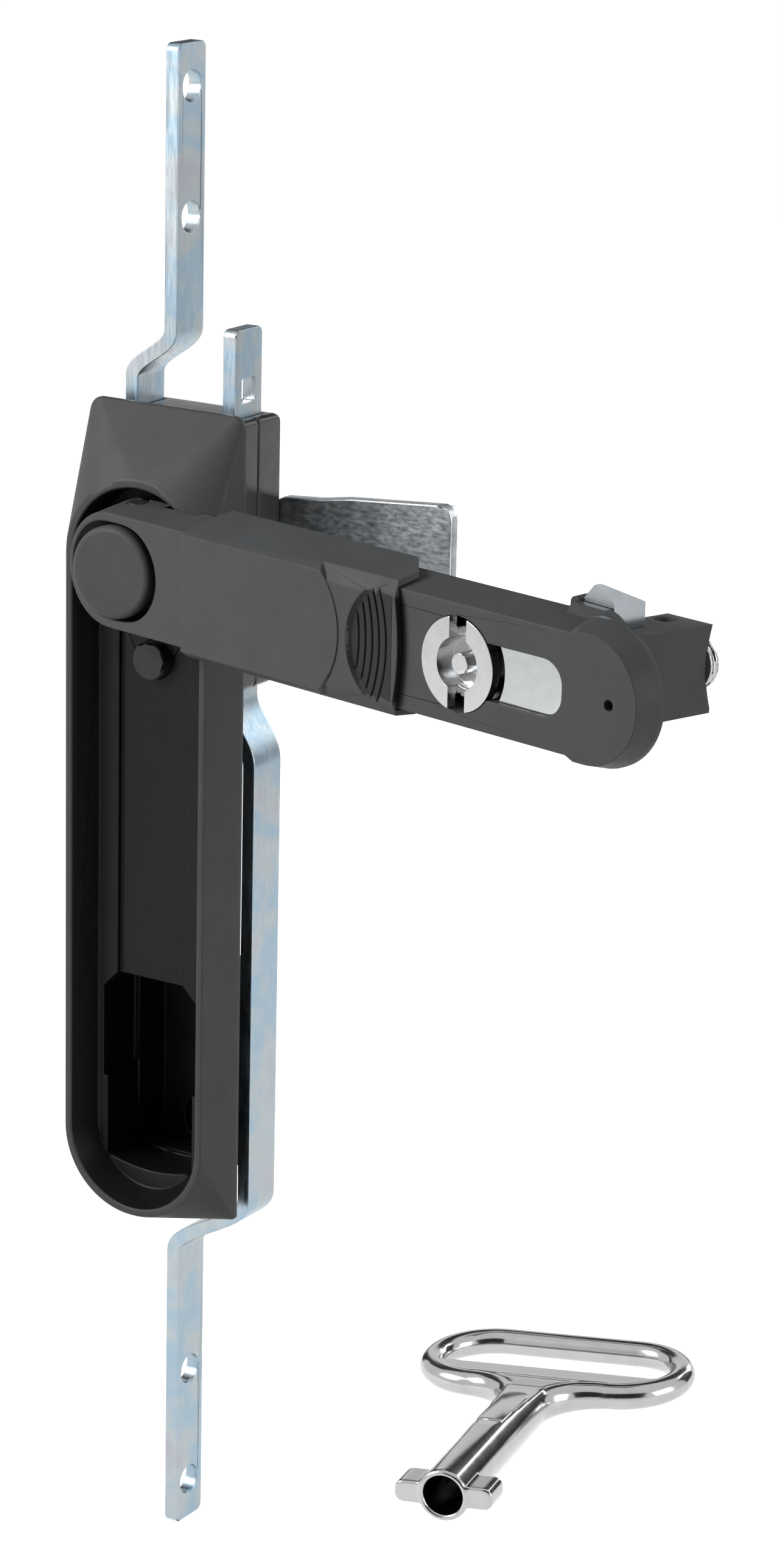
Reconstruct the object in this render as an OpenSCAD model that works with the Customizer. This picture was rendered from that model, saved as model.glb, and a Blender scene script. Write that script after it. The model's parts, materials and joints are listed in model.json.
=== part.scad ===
// Swing-handle rod lock for a cabinet door, with its double-bit key.
// X runs to the right, Y runs back through the door, Z runs up.
// The origin is on the spindle axis, in the plane of the door's front face.

/* [Door plate] */
// Width of the plate at the door
plate_w = 35.2; // [34:0.1:42]
// Length of the plate past the lever's end
plate_foot = 15; // [14:0.2:24]
// Drop from the top edge of the plate to the spindle axis
axis_drop = 28.8; // [26:0.2:34]
// Height of the dish rim in front of the door
rim_rise = 11.1; // [10.6:0.1:12]
// Width across the dish rim
rim_w = 32.4; // [31.6:0.1:33.4]
// Width of the flat land on the rim
rim_land = 1.4; // [1:0.1:1.8]
// Height of the dish shelf in front of the door
shelf_rise = 5.3; // [4.9:0.1:5.8]
// Slope of the dish walls, as the width lost on each side
wall_run = 2.6; // [1.5:0.1:3]
// Width of the sunk channel along the dish
channel_w = 15.4; // [10:0.2:18]
// Depth of the sunk channel below the shelf
channel_cut = 1; // [0.5:0.1:1.5]
// Radius of the round well that the lever hub turns in
well_r = 14.4; // [13.6:0.1:14.6]
// Thickness of the well floor
well_floor = 2.6; // [2.2:0.1:3]
// Thickness of the sealing cord let into the back of the plate
gasket_t = 1; // [0.8:0.1:1.4]
// Width of the sealing cord
gasket_w = 2; // [1.5:0.1:2.4]
// Height of the neck that goes through the door
neck_h = 48; // [46:0.2:49]
// Diameter of the rest for the folded lever
bumper_d = 7.4; // [6:0.1:8]
// Drop from the spindle axis to that rest
bumper_drop = 19.7; // [19:0.1:22]

/* [Pocket] */
// Height of the pocket mouth
pocket_h = 39.4; // [38:0.2:42]
// Width of the upper part of the pocket mouth
pocket_w = 22; // [20.6:0.2:23]
// Distance from the bottom edge of the plate up to the pocket mouth
pocket_lift = 7.6; // [7:0.2:9]
// Depth of the pocket box behind the door
pocket_back = 14.6; // [14.4:0.1:16]
// Wall of the pocket box
pocket_wall = 1; // [0.8:0.1:1.4]

/* [Gear case] */
// Thickness of the door sheet
door_t = 2.1; // [2:0.1:2.4]
// Height of the gear case above the spindle axis
case_up = 27; // [25:0.2:30]
// Height of the gear case below the spindle axis
case_down = 25.6; // [24.6:0.2:27]
// Wall between the door and the rods
case_wall = 0.85; // [0.8:0.05:1.2]
// Side wall outside the rods
case_side = 2.15; // [1.5:0.05:2.6]
// Wall behind the rods
case_back_wall = 3.05; // [2.6:0.05:3.6]
// Distance of the case screws from the spindle axis
case_screw_z = 19.5; // [18:0.1:21]

/* [Rods] */
// Thickness of the flat rods
bar_t = 2.8; // [2:0.1:3.2]
// Width of the flat rods
bar_w = 9; // [8:0.1:10]
// Pitch radius of the pinion, at the inner faces of the rods
pitch_r = 9.8; // [9.4:0.1:10.4]
// Teeth on the pinion
teeth = 8; // [8:1:8]
// Height of a punched rack window
window_h = 4.6; // [4.4:0.1:4.8]
// Width of a punched rack window
window_w = 4.3; // [3.8:0.1:4.8]
// Windows punched in each rod
windows = 5; // [5:1:5]
// Height of the first window of the lower rod above the axis
mesh_rise = 1.3; // [0:0.1:2]
// Top end of the upper rod above the axis
upper_top = 96.1; // [85:0.1:140]
// Lower end of the upper rod below the axis
upper_tail = 24; // [23:0.2:25]
// Sideways place of the upper rod's end
upper_x = -2.3; // [-5:0.1:0]
// Top end of the lower rod above the axis
lower_head = 43.9; // [42:0.1:45]
// Bottom end of the lower rod below the axis
lower_bottom = 202.9; // [190:0.2:260]
// Sideways place of the lower rod beside the pocket
lower_out = 16.8; // [15.6:0.1:19]
// Diameter of the holes in the rod ends
rod_hole_d = 6; // [4:0.1:6.4]
// Distance between the two holes in a rod end
rod_hole_pitch = 24.4; // [20:0.2:30]
// Distance from a rod end to its first hole
rod_hole_edge = 8.2; // [6:0.1:10]

/* [Spindle] */
// Distance from the door plane to the hinge pin
pin_out = 10; // [9.6:0.1:10.4]
// Diameter of the hinge pin
pin_d = 4; // [3:0.1:4.6]
// Radius of the spindle head
head_r = 8.2; // [7.6:0.1:8.4]
// Radius of the round cap on the spindle head
cap_r = 8.9; // [8.6:0.1:9]
// Thickness of the round cap
cap_t = 3; // [2.4:0.1:3.4]
// Distance from the door plane to the front of the cap
cap_out = 19.4; // [18.8:0.1:19.8]
// Radius of the spindle journal
journal_r = 6; // [5.8:0.1:6.2]
// Side of the spindle square
square_a = 8; // [7:0.1:8]

/* [Tongue] */
// Thickness of the tongue
tongue_t = 2.5; // [2:0.1:3]
// Reach of the tongue from the spindle axis
tongue_l = 51.5; // [45:0.5:60]
// Width of the tongue at its root
tongue_root_w = 18; // [16:0.2:20]
// Width of the tongue at its end
tongue_end_w = 26; // [22:0.2:28]
// Step of the tongue away from the door
tongue_step = 2.5; // [1.5:0.1:3.5]

/* [Lever] */
// Lift of the lever out of the dish
lift = 12.5; // [12:0.1:14]
// Distance from the hinge pin to the lever's front face
lever_front = 7.6; // [7.4:0.1:7.8]
// Depth of the lever
lever_d = 9.5; // [9.2:0.1:9.6]
// Width of the lever's front face
lever_w = 21.6; // [21:0.1:22]
// Extra width at the back of the lever
lever_flare = 2.8; // [2:0.1:3]
// Length from the hinge pin to the end cap
lever_l = 116.2; // [112:0.2:130]
// Width of the end cap
end_w = 26; // [25:0.1:26.6]
// Depth of the end cap
end_d = 6; // [5:0.1:6.4]
// Distance from the end cap back to the lock insert
insert_back = 25.7; // [25.4:0.1:26.4]

/* [Lock] */
// Diameter of the round part of the profile cylinder
round_d = 17; // [16.8:0.1:17.2]
// Width of the web of the profile cylinder
web_w = 10; // [9.6:0.1:10.2]
// Height of the profile cylinder from round to web end
profile_h = 32.8; // [32.4:0.1:33]
// Height of the lock block above the middle of the lever
block_up = 9.3; // [8.6:0.1:9.6]
// Height of the lock block below the middle of the lever
block_down = 6.5; // [6.2:0.1:7.4]
// Drop of the lock block towards its back
block_lean = 1; // [0:0.1:1.2]
// Length of the lock block along the lever
block_l = 10.3; // [10.2:0.1:10.8]
// Distance from the lever's front face to the back of the lock block
block_d = 30.2; // [29:0.2:30.2]
// Reach of the lock block past the lever's end
block_reach = 6; // [5.6:0.1:6.4]
// Diameter of the chromed pin at the back of the lock block
nose_d = 9.6; // [8:0.1:9.8]
// Length of the latch bolt along the lever
bolt_l = 7; // [6.4:0.1:7.2]
// Depth of the latch bolt
bolt_d = 8; // [7:0.1:8.4]

/* [Cover] */
// Length of the sliding cover
cover_l = 55.5; // [50:0.5:56]
// Distance from the hinge pin to the cover
cover_s = 22; // [21:0.1:23]
// Wall of the cover
cover_t = 1.2; // [1:0.1:1.6]
// Gap between the cover and the lever
cover_gap = 0.3; // [0.2:0.05:0.4]
// Ribs in the thumb grip
grip_ribs = 5; // [3:1:6]

/* [Key] */
// Outer diameter of the key barrel
key_d = 8.6; // [8:0.1:8.8]
// Bore of the key barrel
key_bore = 6.4; // [5:0.1:6.6]
// Span across the key bits
key_span = 16.4; // [14:0.1:16.6]
// Width of the key ring
ring_w = 48; // [40:0.2:54]
// Length of the key ring
ring_l = 24.2; // [22:0.2:30]
// Thickness of the key ring's wire
ring_d = 4.4; // [4:0.1:5.2]
// Length of the whole key
key_l = 69; // [66:0.5:80]
// Place of the key's mouth beside the lock
key_at = [137.8, -120, -110.1];
// Turn of the key about the three axes
key_turn = [-4.5, 1.5, 101.4];

/* [Hidden] */
$fn = 72;
// Sides of the round parts of blended shells
blend_fn = 40;
// Running gap on shafts, gap beside sliding flats, and gap around parts that only pass
run_gap = 0.05;
slide_gap = 0.15;
fit_gap = 0.02;
// Overshoot of cuts, and a half width past everything
eps = 0.5;
far = 40;

plate_bottom = -lever_l - plate_foot;
plate_h = axis_drop - plate_bottom;
rim_bottom_z = plate_bottom + rim_w / 2;
mouth_r = rim_w / 2 - rim_land;
shelf_r = mouth_r - wall_run;
channel_y = -shelf_rise + channel_cut;
pocket_z0 = plate_bottom + pocket_lift;
pocket_z1 = pocket_z0 + pocket_h;

bar_in = pitch_r;
bar_x = bar_in + bar_t / 2;
bar_y0 = door_t + case_wall + slide_gap;
bar_y1 = bar_y0 + bar_w;
bar_mid = bar_y0 + bar_w / 2;
case_x = bar_in + bar_t + slide_gap + case_side;
case_y1 = bar_y1 + slide_gap + case_back_wall;
rack_pitch = 2 * PI * pitch_r / teeth;
mesh_turn = mesh_rise / pitch_r * 180 / PI;
tooth_tip = pitch_r + 1.5;
tooth_root = pitch_r - 1.2;
pinion_t = window_w - 0.6;
pinion_y0 = bar_mid - pinion_t / 2;
pinion_y1 = bar_mid + pinion_t / 2;
hub_r = journal_r + 0.5;
hub_y1 = case_y1 + 0.4;
screw_r = 2;
screw_bite = 1.4;

bumper_y0 = channel_y - 2.4;
bumper_y1 = channel_y + 0.6;

head_y1 = -well_floor - 0.5;
tongue_y0 = hub_y1;
square_y1 = tongue_y0 + tongue_t - 0.1;
thread_r = 2.5;
washer_y0 = tongue_y0 + tongue_t;
washer_t = 1.2;

lever_y0 = -lever_front;
lever_y1 = lever_y0 + lever_d;
lever_half = lever_w / 2;
lever_back_half = lever_half + lever_flare / 2;
hub_end_r = lever_half + 0.2;
hinge_half = hub_end_r + 0.95;
end_half = end_w / 2;
end_y0 = lever_y0 - 0.3;
end_y1 = lever_y0 + end_d;
end_mid_s = lever_l + 3.6;
insert_s = lever_l - insert_back;
web_end_s = insert_s + profile_h - round_d / 2;
face_y = lever_y0 - 0.2;
disc_y1 = face_y + 2;
plate_y = lever_y0 + 1;
pit_y1 = plate_y + 2.4;
barrel_r = round_d / 2 - 2.1;
barrel_y1 = lever_y1 + 6.6;
keyway_r = key_d / 2 + 0.5;
keyway_w = 4;
block_s1 = lever_l + block_reach;
block_s0 = block_s1 - block_l;
block_y1 = lever_y0 + block_d;
block_hollow = 1.3;
bolt_s0 = block_s0 - 1.8;
bolt_mid_s = bolt_s0 + bolt_l / 2;
bolt_y0 = lever_y1 + 0.7;
bolt_mid_y = bolt_y0 + bolt_d / 2;
bolt_z0 = 3;
bolt_travel = 4.5;
bolt_shoulder = lever_back_half + 1.7;
bolt_tip = bolt_shoulder + 3.2;
guide_s0 = bolt_s0 - 2.5;
guide_y1 = bolt_y0 + bolt_d + 1.6;
spring_z0 = 0.8 - block_down;
screw_s = block_s0 + 3;
screw_y = block_y1 - 4.2;
nose_s = block_s1 - 3.7;
nose_z = (block_up - block_down) / 2 - block_lean / 2;
nose_y0 = block_y1 - block_hollow;
nose_shank_r = 1.5;
fixing_r = 1.6;
cover_s1 = cover_s + cover_l;
cover_front = lever_y0 - cover_gap - 1.6;
cover_half = lever_half + 0.2;
grip_front = cover_front + 0.25;
grip_half = cover_half - 1.6;
ring_mid = key_l - ring_l / 2;
barrel_l = ring_mid - 18;

// Plain 2-D shapes
module slab_2d(w, h, r) {
    square([w - 2 * r, h], center = true);
    square([w, h - 2 * r], center = true);
    for (x = [-1, 1], y = [-1, 1])
        translate([x * (w / 2 - r), y * (h / 2 - r)])
            circle(r);
}

module stadium_2d(x0, x1, r) {
    translate([x0, 0])
        circle(r);
    translate([x1, 0])
        circle(r);
    translate([x0, -r])
        square([x1 - x0, 2 * r]);
}

// A profile in X and Z, carried along Y from y0 to y1
module along_y(y0, y1) {
    translate([0, y1, 0])
        rotate([90, 0, 0])
            linear_extrude(y1 - y0)
                children();
}

// A profile in Y and Z, carried along X from x0 to x1
module along_x(x0, x1) {
    translate([x0, 0, 0])
        rotate([90, 0, 90])
            linear_extrude(x1 - x0)
                children();
}

// A box from its corners
module box(x0, x1, y0, y1, z0, z1) {
    translate([x0, y0, z0])
        cube([x1 - x0, y1 - y0, z1 - z0]);
}

// A round bar along Y, and one along Z
module post(r, y0, y1) {
    translate([0, y1, 0])
        rotate([90, 0, 0])
            cylinder(r = r, h = y1 - y0);
}

module upright(r, z0, z1) {
    translate([0, 0, z0])
        cylinder(r = r, h = z1 - z0);
}

// The frame of the lever: X along it, Y into its depth, Z across it
module at_lever() {
    translate([0, -pin_out, 0])
        rotate([0, 0, -lift])
            children();
}

module pocket_2d() {
    bottom_r = 32;
    waist = pocket_z0 + pocket_h * 0.45;
    half = pocket_w / 2;
    corner = 3;
    intersection() {
        union() {
            polygon([[-half, waist], [half, waist], [half, pocket_z1 - corner], [half - corner, pocket_z1],
                [corner - half, pocket_z1], [-half, pocket_z1 - corner]]);
            translate([1 - half, pocket_z0 - eps])
                square([pocket_w - 2, waist - pocket_z0 + 2 * eps]);
        }
        translate([0, pocket_z0 + bottom_r])
            circle(bottom_r, $fn = 144);
    }
}

module gasket_2d() {
    inset = 1.2;
    difference() {
        translate([0, axis_drop - plate_h / 2])
            slab_2d(plate_w - 2 * inset, plate_h - 2 * inset, 1.6);
        translate([0, axis_drop - plate_h / 2])
            slab_2d(plate_w - 2 * (inset + gasket_w), plate_h - 2 * (inset + gasket_w), 0.8);
    }
}

// Moulded plate: sloping head, raised rim, dish, pocket box and neck through the door
module base_dish() {
    flange = 1.2;
    corner = 2.6;
    neck_half = 10.8;
    half = plate_w / 2;
    rear_half = block_up + 0.4 + pocket_wall;
    front_half = pocket_w / 2 + pocket_wall + 0.2;
    box_z0 = pocket_z0 - 1.6;
    box_z1 = pocket_z1 + 1.4;
    cores = 3;
    core_rib = 3.4;
    core_half = 10;
    core_z0 = pocket_z1 + 6;
    core_z1 = -neck_h / 2 - 5;
    core_step = (core_z1 - core_z0 + core_rib) / cores;
    color("dimgray")
        difference() {
            union() {
                hull() {
                    for (x = [-1, 1])
                        translate([x * (half - corner), 0, axis_drop - corner])
                            post(corner, -flange, 0, $fn = blend_fn);
                    box(-half, half, -flange, 0, plate_bottom, plate_bottom + 1);
                    for (z = [0, rim_bottom_z])
                        translate([0, 0, z])
                            post(rim_w / 2, -rim_rise, -rim_rise + 0.1, $fn = 2 * blend_fn);
                }
                along_y(-0.1, door_t)
                    slab_2d(2 * neck_half, neck_h, 2);
                box(-front_half, front_half, -0.1, 6, box_z0, box_z1);
                box(-rear_half, rear_half, 5, pocket_back, box_z0, box_z1);
            }
            hull() {
                for (z = [0, rim_bottom_z])
                    translate([0, 0, z]) {
                        post(mouth_r, -rim_rise - 0.1, -rim_rise, $fn = 2 * blend_fn);
                        post(shelf_r, -shelf_rise - 0.05, -shelf_rise, $fn = 2 * blend_fn);
                    }
            }
            post(well_r, -rim_rise - 1, -well_floor);
            box(-channel_w / 2, channel_w / 2, -shelf_rise - eps, channel_y, pocket_z1 - 1, -well_r + 2);
            along_y(-rim_rise, 5)
                pocket_2d();
            box(pocket_wall - rear_half, rear_half - pocket_wall, 4, pocket_back - pocket_wall,
                pocket_z0 + 1, pocket_z1 - 2);
            translate([nose_z, 0, -nose_s])
                post(nose_d / 2 + 0.5, pocket_back - 2, pocket_back + 1);
            post(journal_r + run_gap, -well_floor - 1, door_t + 1);
            along_y(-gasket_t, eps)
                gasket_2d();
            for (z = [-1, 1])
                translate([0, 0, z * case_screw_z])
                    post(screw_r + fit_gap, -screw_bite - fit_gap, door_t + 1);
            translate([0, 0, -bumper_drop])
                post(bumper_d / 2 + fit_gap, -shelf_rise - eps, bumper_y1);
            // Latch slot in the dish wall, and the cored back between neck and pocket
            box(shelf_r - 1, half - 1.2, -shelf_rise - 2.6, -shelf_rise + 2.4, -bolt_s0 - bolt_l - 1.5,
                -bolt_s0 + 1.5);
            for (i = [0:cores - 1])
                box(-core_half, core_half, -channel_cut - 1, eps, core_z0 + i * core_step,
                    core_z0 + (i + 1) * core_step - core_rib);
        }
}

module door_gasket() {
    color("black")
        along_y(-gasket_t, 0)
            gasket_2d();
}

module rest_bumper() {
    color("black")
        translate([0, 0, -bumper_drop])
            post(bumper_d / 2, bumper_y0, bumper_y1);
}

// The whole gear case before it is split at its seam
module case_solid() {
    back_r = 2;
    edge_r = 1.2;
    depth = case_y1 - door_t;
    intersection() {
        along_y(door_t, case_y1)
            translate([0, (case_up - case_down) / 2])
                slab_2d(2 * case_x, case_up + case_down, edge_r);
        along_x(-case_x, case_x)
            translate([door_t - back_r, -case_down])
                translate([(depth + back_r) / 2, (case_up + case_down) / 2])
                    slab_2d(depth + back_r, case_up + case_down, back_r);
    }
}

module case_hollows() {
    for (x = [-1, 1])
        translate([x * bar_x, 0, 0])
            box(-bar_t / 2 - slide_gap, bar_t / 2 + slide_gap, bar_y0 - slide_gap, bar_y1 + slide_gap,
                -case_down - 1, case_up + 1);
    post(tooth_tip + 0.4, pinion_y0 - 0.2, pinion_y1 + 0.2);
    post(journal_r + run_gap, door_t - 1, pinion_y0);
    post(hub_r + run_gap, pinion_y1, case_y1 + 1);
    for (z = [-1, 1])
        translate([0, 0, z * case_screw_z]) {
            post(screw_r + fit_gap, door_t - 1, case_y1 + 1);
            post(2 * screw_r, case_y1 - 2, case_y1 + 1);
        }
}

module gear_case_front() {
    color("dimgray")
        difference() {
            case_solid();
            case_hollows();
            box(-case_x - 1, case_x + 1, bar_mid, case_y1 + 1, -case_down - 1, case_up + 1);
        }
}

module gear_case_rear() {
    lip = 0.4;
    color("dimgray")
        difference() {
            case_solid();
            case_hollows();
            box(-case_x - 1, case_x + 1, door_t - 1, bar_mid, -case_down - 1, case_up + 1);
            // Fine shadow groove along the seam
            for (x = [-1, 1])
                translate([x * case_x, 0, 0])
                    box(-lip, lip, bar_mid - eps, bar_mid + lip, -case_down - 1, case_up + 1);
        }
}

module case_screws() {
    color("silver")
        for (z = [-1, 1])
            translate([0, 0, z * case_screw_z])
                difference() {
                    union() {
                        post(screw_r, -screw_bite, case_y1 - 1);
                        post(2 * screw_r - 0.1, case_y1 - 2, case_y1 - 0.3);
                    }
                    translate([0, case_y1, 0])
                        rotate([90, 0, 0])
                            cylinder(r = 1.5, h = 1.6, $fn = 6);
                }
}

module spindle() {
    color("gray")
        difference() {
            union() {
                post(head_r, cap_t - cap_out, head_y1);
                post(journal_r, head_y1 - 0.1, pinion_y0);
                box(-square_a / 2, square_a / 2, pinion_y0 - 0.1, square_y1, -square_a / 2, square_a / 2);
            }
            translate([0, -pin_out, 0])
                upright(pin_d / 2 + fit_gap, -head_r - 1, head_r + 1);
            post(3 + fit_gap, -cap_out, cap_t - cap_out + 2.5);
            post(thread_r + fit_gap, square_y1 - 10, square_y1 + 1);
        }
}

// Round cap with a softly rounded edge and a stub that presses into the spindle head
module pivot_cap() {
    edge = 1.2;
    color("dimgray")
        translate([0, cap_t - cap_out, 0])
            rotate([90, 0, 0]) {
                rotate_extrude() {
                    square([cap_r, cap_t - edge]);
                    square([cap_r - edge, cap_t]);
                    intersection() {
                        translate([cap_r - edge, cap_t - edge])
                            circle(edge);
                        square([cap_r, cap_t]);
                    }
                }
                translate([0, 0, -2.4])
                    cylinder(r = 3, h = 2.5);
            }
}

module hinge_pin() {
    color("silver")
        translate([0, -pin_out, 0])
            upright(pin_d / 2, -hinge_half, hinge_half);
}

module thrust_washer() {
    color("ivory")
        difference() {
            post(head_r, head_y1, -well_floor - run_gap);
            post(journal_r + fit_gap, head_y1 - 1, 0);
        }
}

// Pinion whose teeth run in the punched windows of both rods
module pinion() {
    root_half = 1.45;
    tip_half = 0.95;
    color("gray")
        difference() {
            union() {
                along_y(pinion_y0, pinion_y1) {
                    circle(tooth_root);
                    for (i = [0:teeth - 1])
                        rotate(i * 360 / teeth + mesh_turn)
                            polygon([[tooth_root - 1, -root_half], [tooth_tip, -tip_half],
                                [tooth_tip, tip_half], [tooth_root - 1, root_half]]);
                }
                post(hub_r, pinion_y1 - 0.1, hub_y1);
            }
            box(-square_a / 2 - fit_gap, square_a / 2 + fit_gap, pinion_y0 - 1, hub_y1 + 1,
                -square_a / 2 - fit_gap, square_a / 2 + fit_gap);
        }
}

// Flared tongue with a step away from the door and rounded end corners
module cam_tongue() {
    neck_s = 15.5;
    step_s = 24;
    corner = 3;
    end_half_w = tongue_end_w / 2;
    root_half_w = tongue_root_w / 2;
    neck_half_w = root_half_w + 1.5;
    color("silver")
        difference() {
            intersection() {
                along_y(tongue_y0 - 1, tongue_y0 + tongue_step + tongue_t + 1)
                    union() {
                        circle(root_half_w + 2);
                        polygon([[0, -root_half_w], [neck_s - 3, -root_half_w], [neck_s, -neck_half_w],
                            [tongue_l - corner, -end_half_w], [tongue_l - corner, end_half_w],
                            [neck_s, neck_half_w], [neck_s - 3, root_half_w], [0, root_half_w]]);
                        translate([tongue_l - corner - 0.1, corner - end_half_w])
                            square([corner + 0.1, tongue_end_w - 2 * corner]);
                        for (z = [-1, 1])
                            translate([tongue_l - corner, z * (end_half_w - corner)])
                                circle(corner);
                    }
                translate([0, 0, -tongue_end_w])
                    linear_extrude(2 * tongue_end_w)
                        polygon([[-20, tongue_y0], [step_s, tongue_y0],
                            [step_s + 2 * tongue_step, tongue_y0 + tongue_step],
                            [tongue_l + 1, tongue_y0 + tongue_step],
                            [tongue_l + 1, tongue_y0 + tongue_step + tongue_t],
                            [step_s + 2 * tongue_step - 1, tongue_y0 + tongue_step + tongue_t],
                            [step_s - 1, tongue_y0 + tongue_t], [-20, tongue_y0 + tongue_t]]);
            }
            box(-square_a / 2 - fit_gap, square_a / 2 + fit_gap, tongue_y0 - 1, washer_y0 + 1,
                -square_a / 2 - fit_gap, square_a / 2 + fit_gap);
        }
}

module tongue_washer() {
    color("silver")
        difference() {
            post(7.5, washer_y0, washer_y0 + washer_t);
            post(thread_r + fit_gap, washer_y0 - 1, washer_y0 + washer_t + 1);
        }
}

module tongue_screw() {
    head_t = 3.5;
    color("silver")
        union() {
            post(thread_r, square_y1 - 8, washer_y0 + washer_t + 0.1);
            along_y(washer_y0 + washer_t, washer_y0 + washer_t + head_t)
                circle(4.6, $fn = 6);
        }
}

// Half the thickness of a bent strip, measured along X where its middle line has slope k
function strip_half(k) = bar_t / 2 * sqrt(1 + k * k);
// Smooth joggle between two levels: place and slope at the share u of its height
function ease(u) = (1 - cos(180 * u)) / 2;
function ease_slope(u) = PI / 2 * sin(180 * u);

// One side of a joggled strip, as points from z0 to z1 while the middle goes from x0 to x1
function joggle(x0, z0, x1, z1, side, n = 12) =
    [for (i = [0:n])
        let (u = i / n, k = (x1 - x0) / (z1 - z0) * ease_slope(u))
            [x0 + (x1 - x0) * ease(u) + side * strip_half(k), z0 + (z1 - z0) * u]];

function backwards(list) = [for (i = [len(list) - 1:-1:0]) list[i]];

module rod_end_holes(x, z, step) {
    for (i = [0, 1])
        translate([x - bar_t, bar_mid, z + i * step])
            rotate([0, 90, 0])
                cylinder(d = rod_hole_d, h = 2 * bar_t);
}

// Row of punched windows, one rack pitch apart from the row's lowest
module rack_windows(x, z) {
    for (i = [0:windows - 1])
        translate([x - bar_t, bar_mid - window_w / 2, z + i * rack_pitch - window_h / 2])
            cube([2 * bar_t, window_w, window_h]);
}

// Outline that rounds the corners of a rod's ends
module rod_outline(z0, z1) {
    along_x(-far, far)
        translate([bar_mid, (z0 + z1) / 2])
            slab_2d(bar_w, z1 - z0, 1.4);
}

module upper_rod() {
    jog_z0 = case_up + 5.4;
    jog_z1 = jog_z0 + 9.8;
    left = concat([[-bar_x - bar_t / 2, -upper_tail]], joggle(-bar_x, jog_z0, upper_x, jog_z1, -1),
        [[upper_x - bar_t / 2, upper_top]]);
    right = concat([[-bar_x + bar_t / 2, -upper_tail]], joggle(-bar_x, jog_z0, upper_x, jog_z1, 1),
        [[upper_x + bar_t / 2, upper_top]]);
    color("lightsteelblue")
        difference() {
            intersection() {
                along_y(bar_y0, bar_y1)
                    polygon(concat(left, backwards(right)));
                rod_outline(-upper_tail, upper_top);
            }
            rod_end_holes(upper_x, upper_top - rod_hole_edge, -rod_hole_pitch);
            rack_windows(-bar_x, -mesh_rise - 2 * rack_pitch);
        }
}

module lower_rod() {
    jog_z0 = -case_down - 2.2;
    jog_z1 = jog_z0 - 12.4;
    foot_z0 = plate_bottom + 2;
    foot_z1 = foot_z0 - 14.4;
    left = concat([[bar_x - bar_t / 2, lower_head]], joggle(bar_x, jog_z0, lower_out, jog_z1, -1),
        joggle(lower_out, foot_z0, 0, foot_z1, -1), [[-bar_t / 2, -lower_bottom]]);
    right = concat([[bar_x + bar_t / 2, lower_head]], joggle(bar_x, jog_z0, lower_out, jog_z1, 1),
        joggle(lower_out, foot_z0, 0, foot_z1, 1), [[bar_t / 2, -lower_bottom]]);
    color("lightsteelblue")
        difference() {
            intersection() {
                along_y(bar_y0, bar_y1)
                    polygon(concat(left, backwards(right)));
                rod_outline(-lower_bottom, lower_head);
            }
            rod_end_holes(0, -lower_bottom + rod_hole_edge, rod_hole_pitch);
            rack_windows(bar_x, mesh_rise);
        }
}

// Outline of the profile cylinder in the lever's face, grown by g
module profile_2d(g) {
    corner = 4.4;
    intersection() {
        union() {
            translate([insert_s, 0])
                circle(round_d / 2 + g);
            translate([insert_s, -web_w / 2 - g])
                square([web_end_s - insert_s - corner, web_w + 2 * g]);
            translate([web_end_s - 2 * corner, 0])
                slab_2d(4 * corner + 2 * g, web_w + 2 * g, corner + g);
        }
        translate([0, -far])
            square([web_end_s + g, 2 * far]);
    }
}

module lever_body() {
    left = 10;
    right = 13;
    side = 9.25;
    groove_s = 6.8;
    groove_l = 9;
    groove_cut = 1.6;
    color("dimgray")
        at_lever()
            difference() {
                hull() {
                    post(hub_end_r, lever_y0, lever_y0 + 0.1, $fn = blend_fn);
                    box(0, lever_l, lever_y0, lever_y0 + 0.1, -lever_half, lever_half);
                    post(hub_end_r + lever_flare / 2, lever_y1 - 0.1, lever_y1, $fn = blend_fn);
                    box(0, lever_l, lever_y1 - 0.1, lever_y1, -lever_back_half, lever_back_half);
                }
                along_y(lever_y0 - 1, lever_y1 + 1)
                    stadium_2d(side - left, right - side, side);
                upright(pin_d / 2 + run_gap, -far, far);
                // Groove across the back that clears the dish rim while the lever turns
                box(groove_s, groove_s + groove_l, lever_y1 - groove_cut, lever_y1 + 1, -far, far);
                along_y(lever_y0 - 1, lever_y1 + 1)
                    profile_2d(run_gap);
            }
}

// Rounded end cap that flares from the lever's section, with bevelled sides and a small drain hole
module end_cap() {
    bevel = 1.6;
    flare_l = 2;
    front_half = end_half - bevel;
    front_mid_s = end_mid_s + 0.8;
    root_half = lever_half + lever_flare / 2 * end_d / lever_d;
    drain_s = end_mid_s + 6;
    drain_l = 4;
    color("dimgray")
        at_lever()
            difference() {
                hull() {
                    along_x(lever_l, lever_l + 0.1)
                        polygon([[lever_y0, -lever_half], [end_y1, -root_half], [end_y1, root_half],
                            [lever_y0, lever_half]]);
                    translate([front_mid_s, 0, 0])
                        post(front_half, end_y0, end_y0 + 0.1, $fn = 2 * blend_fn);
                    translate([end_mid_s, 0, 0])
                        post(end_half, end_y1 - 1, end_y1, $fn = 2 * blend_fn);
                    box(lever_l + flare_l, front_mid_s, end_y0, end_y0 + 0.1, -front_half, front_half);
                    box(lever_l + flare_l, end_mid_s, end_y1 - 1, end_y1, -end_half, end_half);
                }
                box(0, lever_l, end_y0 - 1, end_y1 + 1, -end_w, end_w);
                translate([drain_s, 0, 0])
                    post(1, end_y0 - 1, end_y0 + drain_l);
            }
}

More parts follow.
